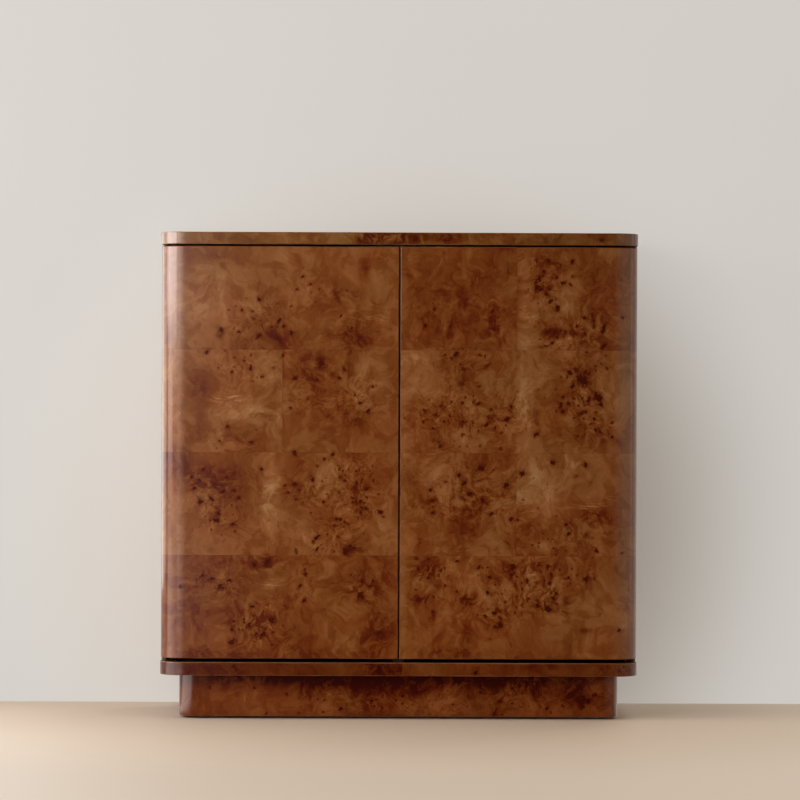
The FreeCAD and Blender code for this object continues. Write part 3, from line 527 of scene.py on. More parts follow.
def make_wild_clusters():
    """Scattered clusters of curls and eyes, for veneer whose figure isn't placed by hand."""
    group, given, result = start_group("wild clusters", {"Vector": None, "Leaf": 0.0}, ["Curl", "Eye"])
    place = given["Vector"] + scaled((2.9, 1.1, 4.3), given["Leaf"])
    curl = rise(noise(place, 11.0)[0], 0.46, 0.64)
    distance, chance, order = cells(place, 36.0)
    missing = rise(order - curl * 0.75, -0.05, 0.05)
    give(result, Curl=curl, Eye=missing * eye_hidden + distance / span(chance, 0.10, 0.24))
    return group


def make_straight_grain():
    """Tone, pores and relief of straight-grained wood. The grain runs along the third axis."""
    takes = {"Vector": None, "Board": 0.0}
    group, given, result = start_group("straight grain", takes, ["Tone", "Pore", "Relief"])
    place = given["Vector"] + scaled((1.3, 2.1, 0.7), given["Board"])
    bent = pushed(place, noise(place * (1.0, 1.0, 0.25), 5.0)[1], 0.05)
    bands = noise(bent * (1.0, 1.0, 0.02), 70.0, 4.0, 0.6)[0]
    broad = noise(place * (1.0, 1.0, 0.2), 7.0)[0]
    pore = rise(noise(bent * (1.0, 1.0, 0.03), 900.0)[0], 0.60, 0.74)
    give(result, Tone=bands * 0.9 + (broad * 0.5 - 0.2), Pore=pore, Relief=bands - pore * 0.8)
    return group


def make_handling():
    """Faint smears and dust that vary how a finish shines."""
    takes = {"Vector": None, "Smooth": 0.3, "Worn": 0.4}
    group, given, result = start_group("handling", takes, ["Roughness", "Smear"])
    wide = noise(given["Vector"], 6.0, 3.0)[0]
    close = noise(given["Vector"], 45.0, 3.0, 0.6)[0]
    smear = rise(close * 0.5 + wide * 0.5, 0.35, 0.65)
    give(result, Smear=smear, Roughness=span(smear, given["Smooth"], given["Worn"]))
    return group


burl_figure = make_burl_figure()
leaf_plan = make_leaf_plan()
wild_clusters = make_wild_clusters()
straight_grain = make_straight_grain()
handling = make_handling()


# Finishes.

interior_stops = [
    (0.10, (0.085, 0.033, 0.014)),
    (0.45, (0.190, 0.083, 0.034)),
    (0.70, (0.275, 0.130, 0.056)),
    (0.95, (0.350, 0.180, 0.084)),
]
hardwood_stops = [
    (0.10, (0.100, 0.040, 0.016)),
    (0.45, (0.225, 0.103, 0.042)),
    (0.70, (0.320, 0.158, 0.068)),
    (0.95, (0.400, 0.212, 0.098)),
]
untinted = (1.0, 1.0, 1.0)


def dress(shader, colour, worn, height, strength, depth):
    """Joins a colour, a wear and a relief to a shader."""
    feed(shader["Base Color"], colour)
    feed(shader["Roughness"], worn["Roughness"])
    bump = {"Height": height, "Strength": strength, "Distance": depth}
    feed(shader["Normal"], made(height.tree, "ShaderNodeBump", bump))


def lacquer(shader, gloss):
    """The clear coat over burl veneer. The gloss is how strongly the wood under it shines."""
    feed(shader["IOR"], 1.5)
    feed(shader["Specular IOR Level"], gloss)
    feed(shader["Coat Roughness"], 0.17)
    feed(shader["Coat IOR"], 1.5)


def attribute(tree, name):
    """A value that the piece's own mesh carries."""
    return made(tree, "ShaderNodeAttribute", output="Fac", attribute_name=name)


def door_joints(place):
    """Thin lines between the leaves of a door."""
    x, _, z = parts(place)
    up = calc("PINGPONG", (z - door_bottom) / leaf_height, 0.5) * leaf_height
    upright = rise(abs(abs(x) - leaf_joint), *door_joint) * attribute(place.tree, "split")
    return calc("MAXIMUM", upright, rise(up, *door_joint))


def finish_burl(shader, place, figure, joint, tint):
    """Joins a burl figure to its shader. The tint colours it as a whole."""
    colour = blend_colours(1.0, figure["Color"], (*tint, 1.0), "MULTIPLY")
    if joint is not None:
        shown = rise(noise(place, 14.0)[0], 0.40, 0.60, 0.05, 0.5)
        colour = blend_colours(joint * shown, colour, (0.05, 0.012, 0.004, 1.0))
    worn = use(handling, Vector=place, Smooth=0.40, Worn=0.52)
    dress(shader, colour, worn, figure["Relief"], 0.25, 0.0003)
    return colour


def make_placed_burl(name, joints=None, tint=untinted, coat=0.9, gloss=0.04):
    """Veneer whose figure is placed one by one on the front, and left wild on the sides."""
    material, tree, shader = start_material(name)
    lacquer(shader, gloss)
    place = object_place(tree)
    leaf = attribute(tree, "leaf")
    tone = attribute(tree, "tone") + attribute(tree, "cloud")
    wild = use(wild_clusters, Vector=place, Leaf=leaf)
    share = attribute(tree, "wild")
    curl = calc("MAXIMUM", attribute(tree, "curl"), wild["Curl"] * share)
    wild_eye = wild["Eye"] + (eye_hidden - share * eye_hidden)
    eye = calc("MINIMUM", attribute(tree, "eye"), wild_eye)
    ripple = attribute(tree, "ripple")
    figure = use(burl_figure, Vector=place, Leaf=leaf, Tone=tone, Curl=curl, Eye=eye, Ripple=ripple)
    finish_burl(shader, place, figure, joints and joints(place), tint)
    feed(shader["Coat Weight"], coat - figure["Mark"] * (0.8 * coat))
    return material


def make_case_burl(name, leaves, outside, turn, tint=untinted, coat=0.9, gloss=0.04):
    """Burl veneer on a case piece, with straight-grained veneer on its inner faces where it has them.

    The leaves are two axes, each with where it is counted from, and a size. The turn moves the figure on.
    """
    material, tree, shader = start_material(name)
    lacquer(shader, gloss)
    place = object_place(tree)
    axes = dict(zip("xyz", parts(place)))
    (first, first_start), (second, second_start), (width, height) = leaves
    across = axes[first] + first_start
    along = axes[second] + second_start
    plan = use(leaf_plan, Across=across, Along=along, Width=width, Height=height)
    leaf = plan["Leaf"] + turn
    wild = use(wild_clusters, Vector=place, Leaf=leaf)
    figure = use(burl_figure, Vector=place, Leaf=leaf, Tone=plan["Tone"], Curl=wild["Curl"], Eye=wild["Eye"])
    colour = finish_burl(shader, place, figure, plan["Joint"], tint)
    if outside is None:
        feed(shader["Coat Weight"], coat)
        return material
    shown = outside(axes)
    grain = use(straight_grain, Vector=place, Board=turn)
    plain = shades(grain["Tone"], interior_stops)
    feed(shader["Base Color"], blend_colours(shown, plain, colour))
    feed(shader["Coat Weight"], shown * coat)
    return material


def beyond(axis, limit, operation="GREATER_THAN"):
    """Picks what lies past a limit along one axis, on both sides of the middle, or what lies within it."""
    return lambda axes: calc(operation, abs(axes[axis]), limit)


def corner_outside(axes):
    """Picks everything on a door's corner piece but its hollow inner face."""
    across = abs(axes["x"]) - corner_start
    deep = axes["y"] - corner_middle
    reach = calc("SQRT", across * across + deep * deep)
    return calc("GREATER_THAN", reach, door_radius - door_thickness + face_margin)


# Everything on each panel but its inner face.
side_outside = beyond("x", side_low.x + face_margin)
top_outside = beyond("z", top_low.z + face_margin)
bottom_outside = beyond("z", bottom_high.z - face_margin, "LESS_THAN")
door_outside = beyond("y", face_margin - door_inside)


def make_plain_wood(name, kind, turn, gap_shade_front=None):
    """Straight-grained wood. The turn lays the grain along the piece. A front edge may be darkened and reddened
    as painted shade, where it shows only in a gap.

    A kind of wood is its colours, its roughness and how wide its boards are.
    """
    stops, rough, board_size = kind
    material, tree, shader = start_material(name)
    place = object_place(tree)
    turned = made(tree, "ShaderNodeMapping", {"Vector": place, "Rotation": turn})
    board = calc("FLOOR", parts(turned)[0] / board_size)
    grain = use(straight_grain, Vector=turned, Board=board)
    colour = shades(grain["Tone"], stops)
    colour = blend_colours(grain["Pore"] * 0.45, colour, (0.035, 0.013, 0.006, 1.0))
    # Painted shade: a front edge seen only in the gap between the doors is darkened and reddened.
    if gap_shade_front is not None:
        front = calc("LESS_THAN", parts(place)[1], gap_shade_front)
        shaded_in_gap = blend_colours(1.0, colour, (0.50, 0.22, 0.15, 1.0), "MULTIPLY")
        colour = blend_colours(front, colour, shaded_in_gap)
    worn = use(handling, Vector=place, Smooth=rough - 0.06, Worn=rough + 0.06)
    dress(shader, colour, worn, grain["Relief"], 0.3, 0.0003)
    return material


def make_metal(name, light, dark, smooth, worn_rough):
    """A satin metal with fine scratches and faint tarnish."""
    material, tree, shader = start_material(name)
    feed(shader["Metallic"], 1.0)
    place = object_place(tree)
    worn = use(handling, Vector=place, Smooth=smooth, Worn=worn_rough)
    brushed = noise(place * (0.06, 1.0, 1.0), 2600.0)[0]
    colour = blend_colours(worn["Smear"], (*light, 1.0), (*dark, 1.0))
    dress(shader, colour, worn, brushed, 0.15, 0.00005)
    return material


def make_moulded(name, light, dark, smooth, worn_rough, grain_scale):
    """A moulded plastic or rubber with a fine grain."""
    material, tree, shader = start_material(name)
    place = object_place(tree)
    worn = use(handling, Vector=place, Smooth=smooth, Worn=worn_rough)
    colour = blend_colours(worn["Smear"], (*dark, 1.0), (*light, 1.0))
    dress(shader, colour, worn, noise(place, grain_scale)[0], 0.3, 0.0001)
    return material


slab_leaf = (0.254, 0.2285)
door_rows = ("z", -door_bottom)
top_leaves = (("x", 1.016), ("y", 1.0), slab_leaf)
bottom_leaves = (("x", 0.992), ("y", 1.0), slab_leaf)
side_leaves = (("y", 1.0), door_rows, (0.20, leaf_height))
body_leaves = (("x", 1.0), door_rows, (0.25, leaf_height))
plinth_leaves = (("x", 2.0), ("z", 1.0), (0.40, 4.0))
door_burl = make_placed_burl("door burl", door_joints)
top_burl = make_case_burl("top burl", top_leaves, top_outside, 2.0)
bottom_burl = make_case_burl("bottom burl", bottom_leaves, bottom_outside, 5.0)
left_side_burl = make_case_burl("left side burl", side_leaves, side_outside, 3.0)
right_side_burl = make_case_burl("right side burl", side_leaves, side_outside, 8.0)
# The door's own pieces show their burl only at their edges, in the gaps round the doors; their darker tint is
# painted shade in those gaps.
door_body_burl_gap_shade = make_case_burl("door body burl", body_leaves, door_outside, 1.0, (0.85,) * 3, 0.3, 0.1)
door_corner_burl_gap_shade = make_case_burl("door corner burl", body_leaves, corner_outside, 4.0, (0.7,) * 3, 0.15, 0.1)
top_edge_burl = make_placed_burl("top edge burl", tint=(0.88, 1.05, 1.02), coat=1.0)
# The bottom edge's veneer is tinted far darker and redder than the top edge's.
bottom_edge_burl = make_placed_burl("bottom edge burl", tint=(0.55, 0.36, 0.20), coat=0.9, gloss=0.01)
# The plinth's tint is partly the veneer's own darker, redder tone and partly painted shade under the bottom
# panel.
plinth_burl_and_shade = make_placed_burl("plinth burl", tint=(0.79, 0.57, 0.40), coat=1.0, gloss=0.01)
plinth_body_burl = make_case_burl("plinth body burl", plinth_leaves, None, 7.0, (0.8, 0.76, 0.7), 0.6, 0.05)

along_z = (0.0, 0.0, 0.0)
along_x = (0.0, quarter, 0.0)
along_y = (quarter, 0.0, 0.0)
interior = (interior_stops, 0.45, 0.30)
hardwood = (hardwood_stops, 0.42, 0.12)
upright_veneer = make_plain_wood("upright interior veneer", interior, along_z)
# The partition's front edge, seen only in the gap between the doors, is darkened as painted shade.
partition_veneer = make_plain_wood("partition veneer", interior, along_z, partition_low.y + face_margin)
shelf_veneer = make_plain_wood("shelf interior veneer", interior, along_x)
upright_hardwood = make_plain_wood("upright hardwood", hardwood, along_z)
long_hardwood = make_plain_wood("long hardwood", hardwood, along_x)
deep_hardwood = make_plain_wood("deep hardwood", hardwood, along_y)
brass = make_metal("satin brass", (0.78, 0.55, 0.25), (0.62, 0.40, 0.16), 0.22, 0.34)
aged_brass = make_metal("aged brass", (0.16, 0.11, 0.06), (0.07, 0.045, 0.025), 0.42, 0.58)
black_steel = make_metal("blackened steel", (0.040, 0.038, 0.036), (0.024, 0.023, 0.022), 0.42, 0.58)
steel = make_metal("zinc steel", (0.62, 0.62, 0.60), (0.46, 0.46, 0.45), 0.28, 0.42)
black_plastic = make_moulded("black plastic", (0.03, 0.03, 0.031), (0.016, 0.016, 0.017), 0.38, 0.52, 1400.0)
foot_plastic = make_moulded("foot plastic", (0.045, 0.044, 0.043), (0.022, 0.022, 0.022), 0.48, 0.62, 1100.0)
rubber = make_moulded("bumper rubber", (0.050, 0.047, 0.044), (0.030, 0.028, 0.027), 0.65, 0.82, 1800.0)

# The pieces with each finish. A star stands for left and for right.
finish_names = [
    (top_burl, "top_panel"),
    (bottom_burl, "bottom_panel"),
    (left_side_burl, "left_side_panel"),
    (right_side_burl, "right_side_panel"),
    (door_body_burl_gap_shade, "*_door_panel"),
    (door_corner_burl_gap_shade, "*_door_corner"),
    (plinth_body_burl, "plinth_front_rail plinth_back_rail plinth_*_rail plinth_*_corner"),
    (upright_veneer, "back_panel"),
    (partition_veneer, "centre_partition"),
    (shelf_veneer, "*_fixed_shelf *_adjustable_shelf"),
    (upright_hardwood, "carcass_dowels plinth_braces *_door_spline *_door_rack_ends"),
    (long_hardwood, "*_door_rack_bases *_door_rack_dowels"),
    (deep_hardwood, "glass_rails bottle_rack_uprights bottle_rack_shelves"),
    (brass, "shelf_pins glass_rail_screws *_door_rack_rails"),
    (aged_brass, "pivot_frame_plates pivot_frame_screws *_door_pivot_plates *_door_pivot_screws"),
    (black_steel, "pivot_collars pivot_pins *_door_strike"),
    (steel, "back_panel_screws latch_screws plinth_screws foot_inserts"),
    (black_plastic, "latch_bodies *_latch_plunger"),
    (rubber, "door_bumpers"),
    (foot_plastic, "front_*_foot back_*_foot"),
]
node_finishes = {}
for finish, names in finish_names:
    for name in names.split():
        for hand in ("left", "right"):
            node_finishes[name.replace("*", hand)] = finish
for name, node in nodes.items():
    node.data.materials[0] = node_finishes[name]


# Pieces made by rule.


def start_rule(name, **takes):
    """A geometry tree with its inputs listed by kind, and one geometry output."""
    tree = bpy.data.node_groups.new(name, "GeometryNodeTree")
    for kind, labels in takes.items():
        for label in labels.split(", "):
            tree.interface.new_socket(label, in_out="INPUT", socket_type="NodeSocket" + kind)
    tree.interface.new_socket("Geometry", in_out="OUTPUT", socket_type="NodeSocketGeometry")
    return tree, Outputs(put(tree, "NodeGroupInput")), put(tree, "NodeGroupOutput").inputs


def make_veneer_wrap():
    """A sheet of veneer laid along a flat front and round its corners."""
    tree, given, result = start_rule(
        "veneer wrap",
        Float="Start, End, Straight, Radius, Face, Bottom, Top",
        Int="Columns, Rows",
        Material="Finish",
    )
    straight = given["Straight"]
    radius = given["Radius"]
    grid = {"Size X": given["End"] - given["Start"], "Size Y": given["Top"] - given["Bottom"]}
    grid.update({"Vertices X": given["Columns"], "Vertices Y": given["Rows"]})
    sheet = made(tree, "GeometryNodeMeshGrid", grid)
    x, y, _ = parts(made(tree, "GeometryNodeInputPosition"))
    along = x + (given["Start"] + given["End"]) * 0.5
    run = abs(along)
    past = calc("MAXIMUM", run - straight, 0.0)
    arc = radius * quarter
    angle = calc("MINIMUM", past, arc) / radius
    out = calc("SINE", angle) * radius + calc("MINIMUM", run, straight)
    beside = calc("MAXIMUM", past - arc, 0.0)
    deep = (1.0 - calc("COSINE", angle)) * radius + given["Face"] + beside
    level = y + (given["Bottom"] + given["Top"]) * 0.5
    place = made(tree, "ShaderNodeCombineXYZ", {"X": out * calc("SIGN", along), "Y": deep, "Z": level})
    laid = made(tree, "GeometryNodeSetPosition", {"Geometry": sheet, "Position": place})
    smooth = made(tree, "GeometryNodeSetShadeSmooth", {"Geometry": laid})
    whole = made(tree, "GeometryNodeRealizeInstances", {"Geometry": smooth})
    dressed = made(tree, "GeometryNodeSetMaterial", {"Geometry": whole, "Material": given["Finish"]})
    give(result, Geometry=dressed)
    return tree


def make_foot_rule():
    """A levelling foot: a ribbed pad, and a stem with a helical thread."""
    tree, given, result = start_rule(
        "levelling foot",
        Float="Pad Radius, Pad Height, Rib Depth, Stem Radius, Stem Height, Pitch",
        Int="Rib Count",
        Material="Pad Finish, Stem Finish",
    )
    height = given["Pad Height"]
    half = height * 0.5
    pitch = given["Pitch"]
    core_radius = given["Pad Radius"] - given["Rib Depth"]
    where = made(tree, "GeometryNodeInputPosition")
    x, y, z = parts(where)

    def vector(**axes):
        return made(tree, "ShaderNodeCombineXYZ", axes)

    def lifted(part, up):
        return made(tree, "GeometryNodeTransform", {"Geometry": part, "Translation": vector(Z=up)})

    # The pad is one turned drum of five bands, whose first and last rings draw in to a chamfer.
    drum_sizes = {"Vertices": 48, "Side Segments": 5, "Radius": core_radius, "Depth": height}
    drum = made(tree, "GeometryNodeMeshCylinder", drum_sizes, "Mesh")
    at_end = calc("GREATER_THAN", abs(z), height * 0.45)
    keep = 1.0 - at_end * (height * 0.2 / core_radius)
    ring = vector(X=x * keep, Y=y * keep, Z=z)
    drum = lifted(made(tree, "GeometryNodeSetPosition", {"Geometry": drum, "Position": ring}), half)

    circle = made(tree, "GeometryNodeMeshCircle", {"Vertices": given["Rib Count"], "Radius": core_radius})
    rib_depth = given["Rib Depth"] * 2.0
    rib_size = vector(X=rib_depth, Y=rib_depth, Z=height * 0.6)
    rib = made(tree, "GeometryNodeMeshCube", {"Size": rib_size}, "Mesh")
    aim = made(tree, "FunctionNodeAlignRotationToVector", {"Vector": where}, axis="X")
    around = {"Points": circle, "Instance": rib, "Rotation": aim}
    ribs = lifted(made(tree, "GeometryNodeInstanceOnPoints", around), half)

    # The stem starts inside the pad, and its thread is a ridge wound round it.
    thread_depth = pitch * 0.5
    root = given["Stem Radius"] - thread_depth
    stem_long = given["Stem Height"] + half
    stem_sizes = {"Vertices": 32, "Radius": root, "Depth": stem_long}
    stem = lifted(made(tree, "GeometryNodeMeshCylinder", stem_sizes, "Mesh"), stem_long * 0.5 + half)
    turns = given["Stem Height"] / pitch - 2.0
    spiral_sizes = {"Resolution": 18, "Rotations": turns, "Start Radius": root, "End Radius": root}
    spiral_sizes["Height"] = turns * pitch
    spiral = made(tree, "GeometryNodeCurveSpiral", spiral_sizes)
    ridge = made(tree, "GeometryNodeCurvePrimitiveCircle", {"Resolution": 4, "Radius": thread_depth})
    sweep = {"Curve": spiral, "Profile Curve": ridge, "Fill Caps": True}
    thread = lifted(made(tree, "GeometryNodeCurveToMesh", sweep), height + pitch)

    joined = put(tree, "GeometryNodeJoinGeometry")
    for part in (drum, ribs, stem, thread):
        feed(joined.inputs[0], part)
    foot = made(tree, "GeometryNodeRealizeInstances", {"Geometry": Wire(joined.outputs[0])})
    foot = made(tree, "GeometryNodeSetMaterial", {"Geometry": foot, "Material": given["Pad Finish"]})
    above = calc("GREATER_THAN", z, height * 1.01)
    metal = {"Geometry": foot, "Selection": above, "Material": given["Stem Finish"]}
    give(result, Geometry=made(tree, "GeometryNodeSetMaterial", metal))
    return tree


def add_object(name, data):
    """A new object in the scene."""
    added = bpy.data.objects.new(name, data)
    bpy.context.scene.collection.objects.link(added)
    return added


def piece_by_rule(name, rule, sizes, wall=0.0):
    """Runs a geometry tree and keeps its result as a plain mesh."""
    piece = add_object(name, bpy.data.meshes.new(name))
    modifier = piece.modifiers.new("rule", "NODES")
    modifier.node_group = rule
    for socket in rule.interface.items_tree:
        if socket.in_out == "INPUT":
            modifier[socket.identifier] = sizes[socket.name]
    if wall:
        sheet = piece.modifiers.new("wall", "SOLIDIFY")
        sheet.thickness = wall
        sheet.offset = -1.0
    shaped = piece.evaluated_get(bpy.context.evaluated_depsgraph_get())
    mesh = bpy.data.meshes.new_from_object(shaped)
    piece.modifiers.clear()
    piece.data = mesh
    mesh.set_sharp_from_angle(angle=sharp_angle)
    return piece


veneer_wrap = make_veneer_wrap()
foot_rule = make_foot_rule()


def wrap(name, reach, bend, level, finish, grid):
    """One sheet of veneer, standing just proud of the piece that it covers.

    Its reach is its start and end along the front, its bend is where the corners start, their radius and
    the front face, and its level is its bottom and top.
    """
    start, end = reach
    straight, radius, face = bend
    bottom, top = level
    sizes = {
        "Start": start,
        "End": end,
        "Straight": straight,
        "Radius": radius + veneer_proud,
        "Face": face - veneer_proud,
        "Bottom": bottom,
        "Top": top,
        "Columns": round((end - start) / grid) + 1,
        "Rows": max(round((top - bottom) / grid), 2) + 1,
        "Finish": finish,
    }
    return piece_by_rule(name, veneer_wrap, sizes, veneer_thickness)


def door_leaf(tones, seed):
    """Numbers the leaves of a door: four rows from the top, outer leaf first."""

    def pick(centre):
        row = min(max(int((door_top - centre.z) / leaf_height), 0), leaf_rows - 1)
        column = 0 if abs(centre.x) > leaf_joint else len(tones[row]) - 1
        return seed + row * 2 + column, tones[row][column], len(tones[row]) - 1

    return pick


def edge_leaf(joint, tones, seed):
    """Numbers the two leaves of an edge, left and right of their joint."""

    def pick(centre):
        side = 0 if centre.x < joint else 1
        return seed + side, tones[side], 1

    return pick


def hand_placed(mesh, figure, pick_leaf):
    """Writes a listed figure and the leaves onto a piece of veneer."""
    count = len(mesh.vertices)
    places = np.empty(count * 3)
    mesh.vertices.foreach_get("co", places)
    across = places[0::3] * 1000
    up = places[2::3] * 1000
    eye = np.full(count, no_eye)
    for x, z, radius in figure["eyes"]:
        lean = 0.5 * math.sin(x * 1.3 + z)
        tall = 1.0 + 0.25 * math.sin(x * 0.7 - z * 0.3)
        dx = across - x + lean * (up - z)
        eye = np.minimum(eye, np.hypot(dx / radius, (up - z) / (radius * tall)))
    wild = np.clip((places[1::3] - corner_middle) / wild_blend, 0.0, 1.0)
    values = {"eye": eye, "wild": wild}
    for name in ("curls", "clouds", "ripples"):
        total = np.zeros(count)
        for x, z, wide, tall, strength in figure[name]:
            total += strength * np.exp(-(((across - x) / wide) ** 2) - ((up - z) / tall) ** 2)
        values[name.rstrip("s")] = np.minimum(total, 1.0)
    for name, numbers in values.items():
        mesh.attributes.new(name, "FLOAT", "POINT").data.foreach_set("value", numbers)
    picked = [pick_leaf(face.center) for face in mesh.polygons]
    for name, numbers in zip(("leaf", "tone", "split"), zip(*picked)):
        mesh.attributes.new(name, "FLOAT", "FACE").data.foreach_set("value", numbers)


door_start = free_edge + edge_ease
door_run = corner_start + door_radius * quarter
door_bend = (corner_start, door_radius, door_face)
door_level = (door_bottom + edge_ease, door_top - edge_ease)
left_reach = (-door_run, -door_start)
left_veneer = wrap("left_door_veneer", left_reach, door_bend, door_level, door_burl, veneer_grid)
hand_placed(left_veneer.data, left_figure, door_leaf(left_tones, seed=3.0))
right_reach = (door_start, door_run)
right_veneer = wrap("right_door_veneer", right_reach, door_bend, door_level, door_burl, veneer_grid)
hand_placed(right_veneer.data, right_figure, door_leaf(right_tones, seed=41.0))

slab_run = corner_start + slab_radius * quarter + top_high.y - (top_low.y + slab_radius)


def slab_edge(name, low, high, finish):
    """Veneer round the front and the sides of the top or the bottom panel."""
    bend = (corner_start, slab_radius, low.y)
    level = (low.z + edge_ease, high.z - edge_ease)
    return wrap(name, (-slab_run, slab_run), bend, level, finish, edge_grid)


top_edge = slab_edge("top_edge_veneer", top_low, top_high, top_edge_burl)
bottom_edge = slab_edge("bottom_edge_veneer", bottom_low, bottom_high, bottom_edge_burl)
plinth_run = plinth_straight + plinth_radius * quarter + plinth_side_high.y - plinth_side_low.y
plinth_reach = (-plinth_run, plinth_run)
plinth_bend = (plinth_straight, plinth_radius, rail_low.y)
plinth_level = (rail_low.z + plinth_ease[0], rail_high.z - plinth_ease[1])
plinth_veneer = wrap("plinth_veneer", plinth_reach, plinth_bend, plinth_level, plinth_burl_and_shade, plinth_grid)

hand_placed(top_edge.data, top_edge_figure, edge_leaf(top_edge_joint, (0.05, -0.05), seed=61.0))
hand_placed(bottom_edge.data, bottom_edge_figure, edge_leaf(bottom_edge_joint, (-0.02, 0.03), seed=71.0))
hand_placed(plinth_veneer.data, plinth_figure_and_shade, edge_leaf(no_joint, (0.0, 0.02), seed=81.0))

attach(left_veneer, "left_door")
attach(right_veneer, "right_door")
for edge in (top_edge, bottom_edge, plinth_veneer):
    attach(edge, "case")

foot_pad_height = 0.008
for end in ("front_left", "front_right", "back_left", "back_right"):
    low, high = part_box(end + "_foot")
    sizes = {
        "Pad Radius": (high.x - low.x) / 2,
        "Pad Height": foot_pad_height,
        "Rib Count": 28,
        "Rib Depth": 0.0007,
        "Stem Radius": 0.005,
        "Stem Height": high.z - low.z - foot_pad_height,
        "Pitch": 0.0015,
        "Pad Finish": foot_plastic,
        "Stem Finish": steel,
    }
    foot = piece_by_rule(end + "_levelling_foot", foot_rule, sizes)
    foot.data.transform(Matrix.Translation(((low.x + high.x) / 2, (low.y + high.y) / 2, low.z)))
    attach(foot, end + "_foot_screw")
    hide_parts(end + "_foot")


# The room, the light and the camera.


def make_stage_surface(name, corners, colour, rough, fade, near, far):
    """A plain floor or wall, clear from behind.

    Near the object it takes the lamps' light, and far from it most of its level is its own, so that it
    stays even. Near and far are each a share of the lamps' light and a level of its own.
    """
    mesh = bpy.data.meshes.new(name)
    shape = bmesh.new()
    shape.faces.new([shape.verts.new(corner) for corner in corners])
    shape.to_mesh(mesh)
    shape.free()
    surface = add_object(name, mesh)
    material = bpy.data.materials.new(name)
    tree = start_tree(material)
    place = object_place(tree)
    lighter = tuple(part * 1.04 for part in colour)
    painted = blend_colours(noise(place, 1.5, 3.0)[0], (*colour, 1.0), (*lighter, 1.0))
    offset = place - (0.0, 0.0, 0.4)
    distance = made(tree, "ShaderNodeVectorMath", {0: offset}, "Value", operation="LENGTH")
    away = rise(distance, *fade)
    path = Outputs(put(tree, "ShaderNodeLightPath"))
    seen = path["Is Camera Ray"] + path["Is Glossy Ray"]
    seen = calc("ADD", seen, path["Is Transmission Ray"], use_clamp=True)
    dimmed = blend_colours(span(away, near[0], far[0]), (0.0, 0.0, 0.0, 1.0), painted)
    inputs = {"Base Color": dimmed, "Roughness": rough, "Emission Color": painted}
    inputs["Emission Strength"] = seen * span(away, near[1], far[1])
    paint = made(tree, "ShaderNodeBsdfPrincipled", inputs)
    clear = made(tree, "ShaderNodeBsdfTransparent")
    behind = made(tree, "ShaderNodeNewGeometry", output="Backfacing")
    shown = made(tree, "ShaderNodeMixShader", {0: behind, 1: paint, 2: clear})
    put(tree, "ShaderNodeOutputMaterial", {"Surface": shown})
    mesh.materials.append(material)
    return surface


floor_corners = [(-16, -16, 0), (16, -16, 0), (16, 16, 0), (-16, 16, 0)]
floor = make_stage_surface(
    "floor", floor_corners, (0.64, 0.51, 0.39), 0.6, fade=(0.7, 1.7), near=(0.95, 0.0), far=(0.05, 0.77)
)
wall_plane = 0.262
wall_corners = [(-9, wall_plane, 0), (9, wall_plane, 0), (9, wall_plane, 6), (-9, wall_plane, 6)]
wall = make_stage_surface(
    "wall", wall_corners, (0.66, 0.633, 0.592), 0.9, fade=(0.50, 1.0), near=(0.82, 0.23), far=(0.10, 0.86)
)
floor.visible_glossy = False
wall.visible_diffuse = False
wall.visible_shadow = False


def make_lamp(name, place, facing, wide, tall, watts, colour, mirrored=True, lighting=True):
    """A soft rectangular lamp. It may be left out of mirrors, or show only in them."""
    light = bpy.data.lights.new(name, "AREA")
    light.shape = "RECTANGLE"
    light.size = wide
    light.size_y = tall
    light.energy = watts
    light.color = colour
    lamp = add_object(name, light)
    lamp.location = place
    lamp.rotation_euler = Vector(facing).to_track_quat("-Z", "Y").to_euler()
    lamp.visible_glossy = mirrored
    lamp.visible_diffuse = lighting
    lamp.visible_camera = False
    return lamp


pale = (1.0, 0.97, 0.94)
warm = (1.0, 0.88, 0.67)
make_lamp("left window", (-2.4, -1.28, 1.56), (1, 0, 0), 2.25, 1.48, 61, pale)
make_lamp("below the window", (-2.4, -1.30, 0.55), (1, 0, 0), 2.20, 0.50, 2.8, pale)
make_lamp("by the floor", (-2.4, -1.30, 0.15), (1, 0, 0), 2.20, 0.30, 4.6, pale)
make_lamp("ceiling", (0.0, -0.7, 3.0), (0, 0, -1), 3.0, 2.4, 28, pale, mirrored=False)
make_lamp("back fill", (1.8, 3.2, 2.4), (-1.8, -3.2, -1.9), 2.4, 1.8, 66, pale, mirrored=False)
make_lamp("right bounce", (2.5, -1.2, 1.15), (-1, 0, 0), 2.8, 2.3, 15.5, warm)

# In mirrors the window and what it lights are brighter than the light that they give.
for name, place, facing, wide, tall, watts, colour in [
    ("window pane", (-2.38, -1.09, 1.59), (1, 0, 0), 2.62, 1.42, 80, pale),
    ("lit wall", (-1.55, 0.25, 1.2), (0, -1, 0), 1.6, 1.9, 20, pale),
    ("lit floor", (-1.45, -0.72, 0.002), (0, 0, 1), 1.7, 1.36, 25, pale),
    ("shaded floor", (1.45, -0.60, 0.002), (0, 0, 1), 1.7, 1.6, 2.2, warm),
    ("window sill", (-2.38, -0.68, 0.65), (1, 0, 0), 0.95, 0.30, 3.8, pale),
    ("window foot", (-2.38, -0.68, 0.25), (1, 0, 0), 0.95, 0.50, 1.5, pale),
]:
    make_lamp(name, place, facing, wide, tall, watts, colour, lighting=False)


def make_panels(name, way, edges, low, high, levels, colour):
    """A row of panels side by side on the wall behind the camera, to the left (-1) or to the right (1)."""
    for start, end, level in zip(edges, edges[1:], levels):
        place = (way * (start + end) / 2, room_back, (low + high) / 2)
        watts = math.pi * level * (end - start) * (high - low)
        make_lamp(name, place, (0, 1, 0), end - start, high - low, watts, colour)


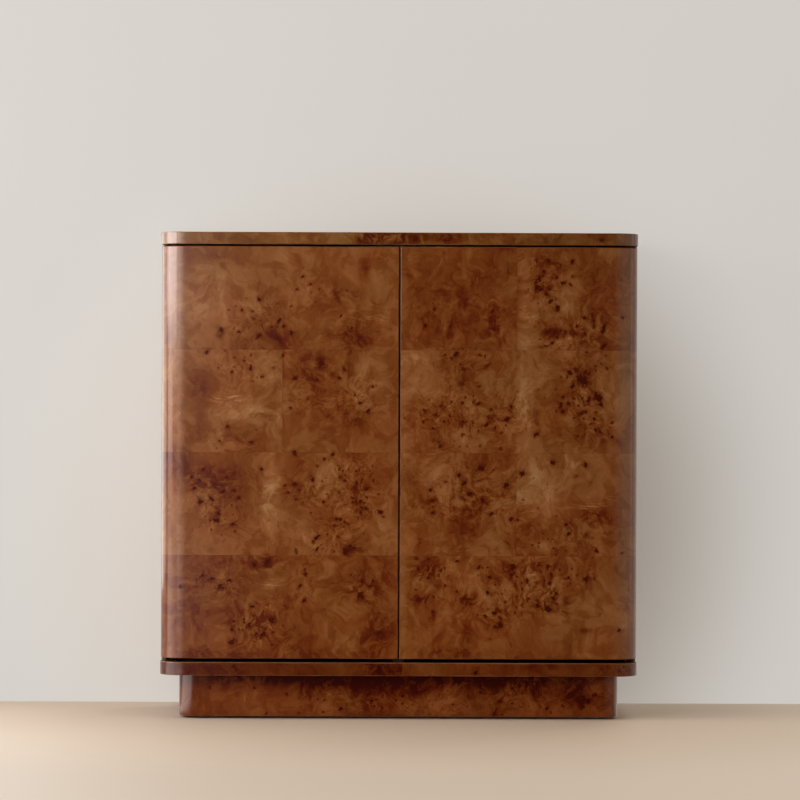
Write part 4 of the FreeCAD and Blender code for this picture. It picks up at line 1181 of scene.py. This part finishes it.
# The wall behind the camera brightens towards each side.
room_back = -2.6
left_edges = (0.55, 0.92, 1.37, 1.89, 2.40)
make_panels("left panel", -1, left_edges, 0.0, 0.30, (1.2, 2.0, 2.9, 2.8), pale)
make_panels("left panel", -1, left_edges, 0.30, 0.82, (0.6, 1.0, 1.3, 1.5), pale)
make_panels("left panel", -1, left_edges, 0.82, 1.82, (1.8, 3.3, 5.2, 6.4), pale)
make_panels("right panel", 1, (0.70, 1.00, 1.50, 2.50), 0.0, 1.8, (0.25, 0.40, 0.55), warm)


def make_world():
    """Dim soft light all round.

    The camera sees a pale backdrop, and so do mirrors that face away from the room.
    """
    world = bpy.data.worlds.new("studio")
    bpy.context.scene.world = world
    tree = start_tree(world)
    direction = made(tree, "ShaderNodeTexCoord", output="Generated")
    path = Outputs(put(tree, "ShaderNodeLightPath"))
    mirror = path["Is Glossy Ray"] * rise(parts(direction)[1], 0.0, 0.4)
    seen = path["Is Camera Ray"] + path["Is Transmission Ray"]
    seen = calc("ADD", seen, mirror, use_clamp=True)
    level = path["Is Glossy Ray"] * -0.08 + 0.10
    dim = made(tree, "ShaderNodeBackground", {"Color": (1.0, 0.96, 0.92, 1.0), "Strength": level})
    backdrop = made(tree, "ShaderNodeBackground", {"Color": (0.66, 0.63, 0.60, 1.0), "Strength": 1.0})
    sky = made(tree, "ShaderNodeMixShader", {0: seen, 1: dim, 2: backdrop})
    put(tree, "ShaderNodeOutputWorld", {"Surface": sky})


make_world()

# The camera turns aside, dips and rolls by small angles, in degrees.
camera_turns = [("Z", -0.33), ("X", 90 - 0.11), ("Z", 0.22)]
camera_data = bpy.data.cameras.new("camera")
camera_data.sensor_width = 36.0
camera_data.lens = 180.4
camera = add_object("camera", camera_data)
camera_pose = Matrix.Translation((-0.048, -8.7285, 0.696))
for axis, degrees in camera_turns:
    camera_pose = camera_pose @ Matrix.Rotation(math.radians(degrees), 4, axis)
camera.matrix_world = camera_pose
bpy.context.scene.camera = camera
bpy.context.scene.view_settings.view_transform = "Standard"
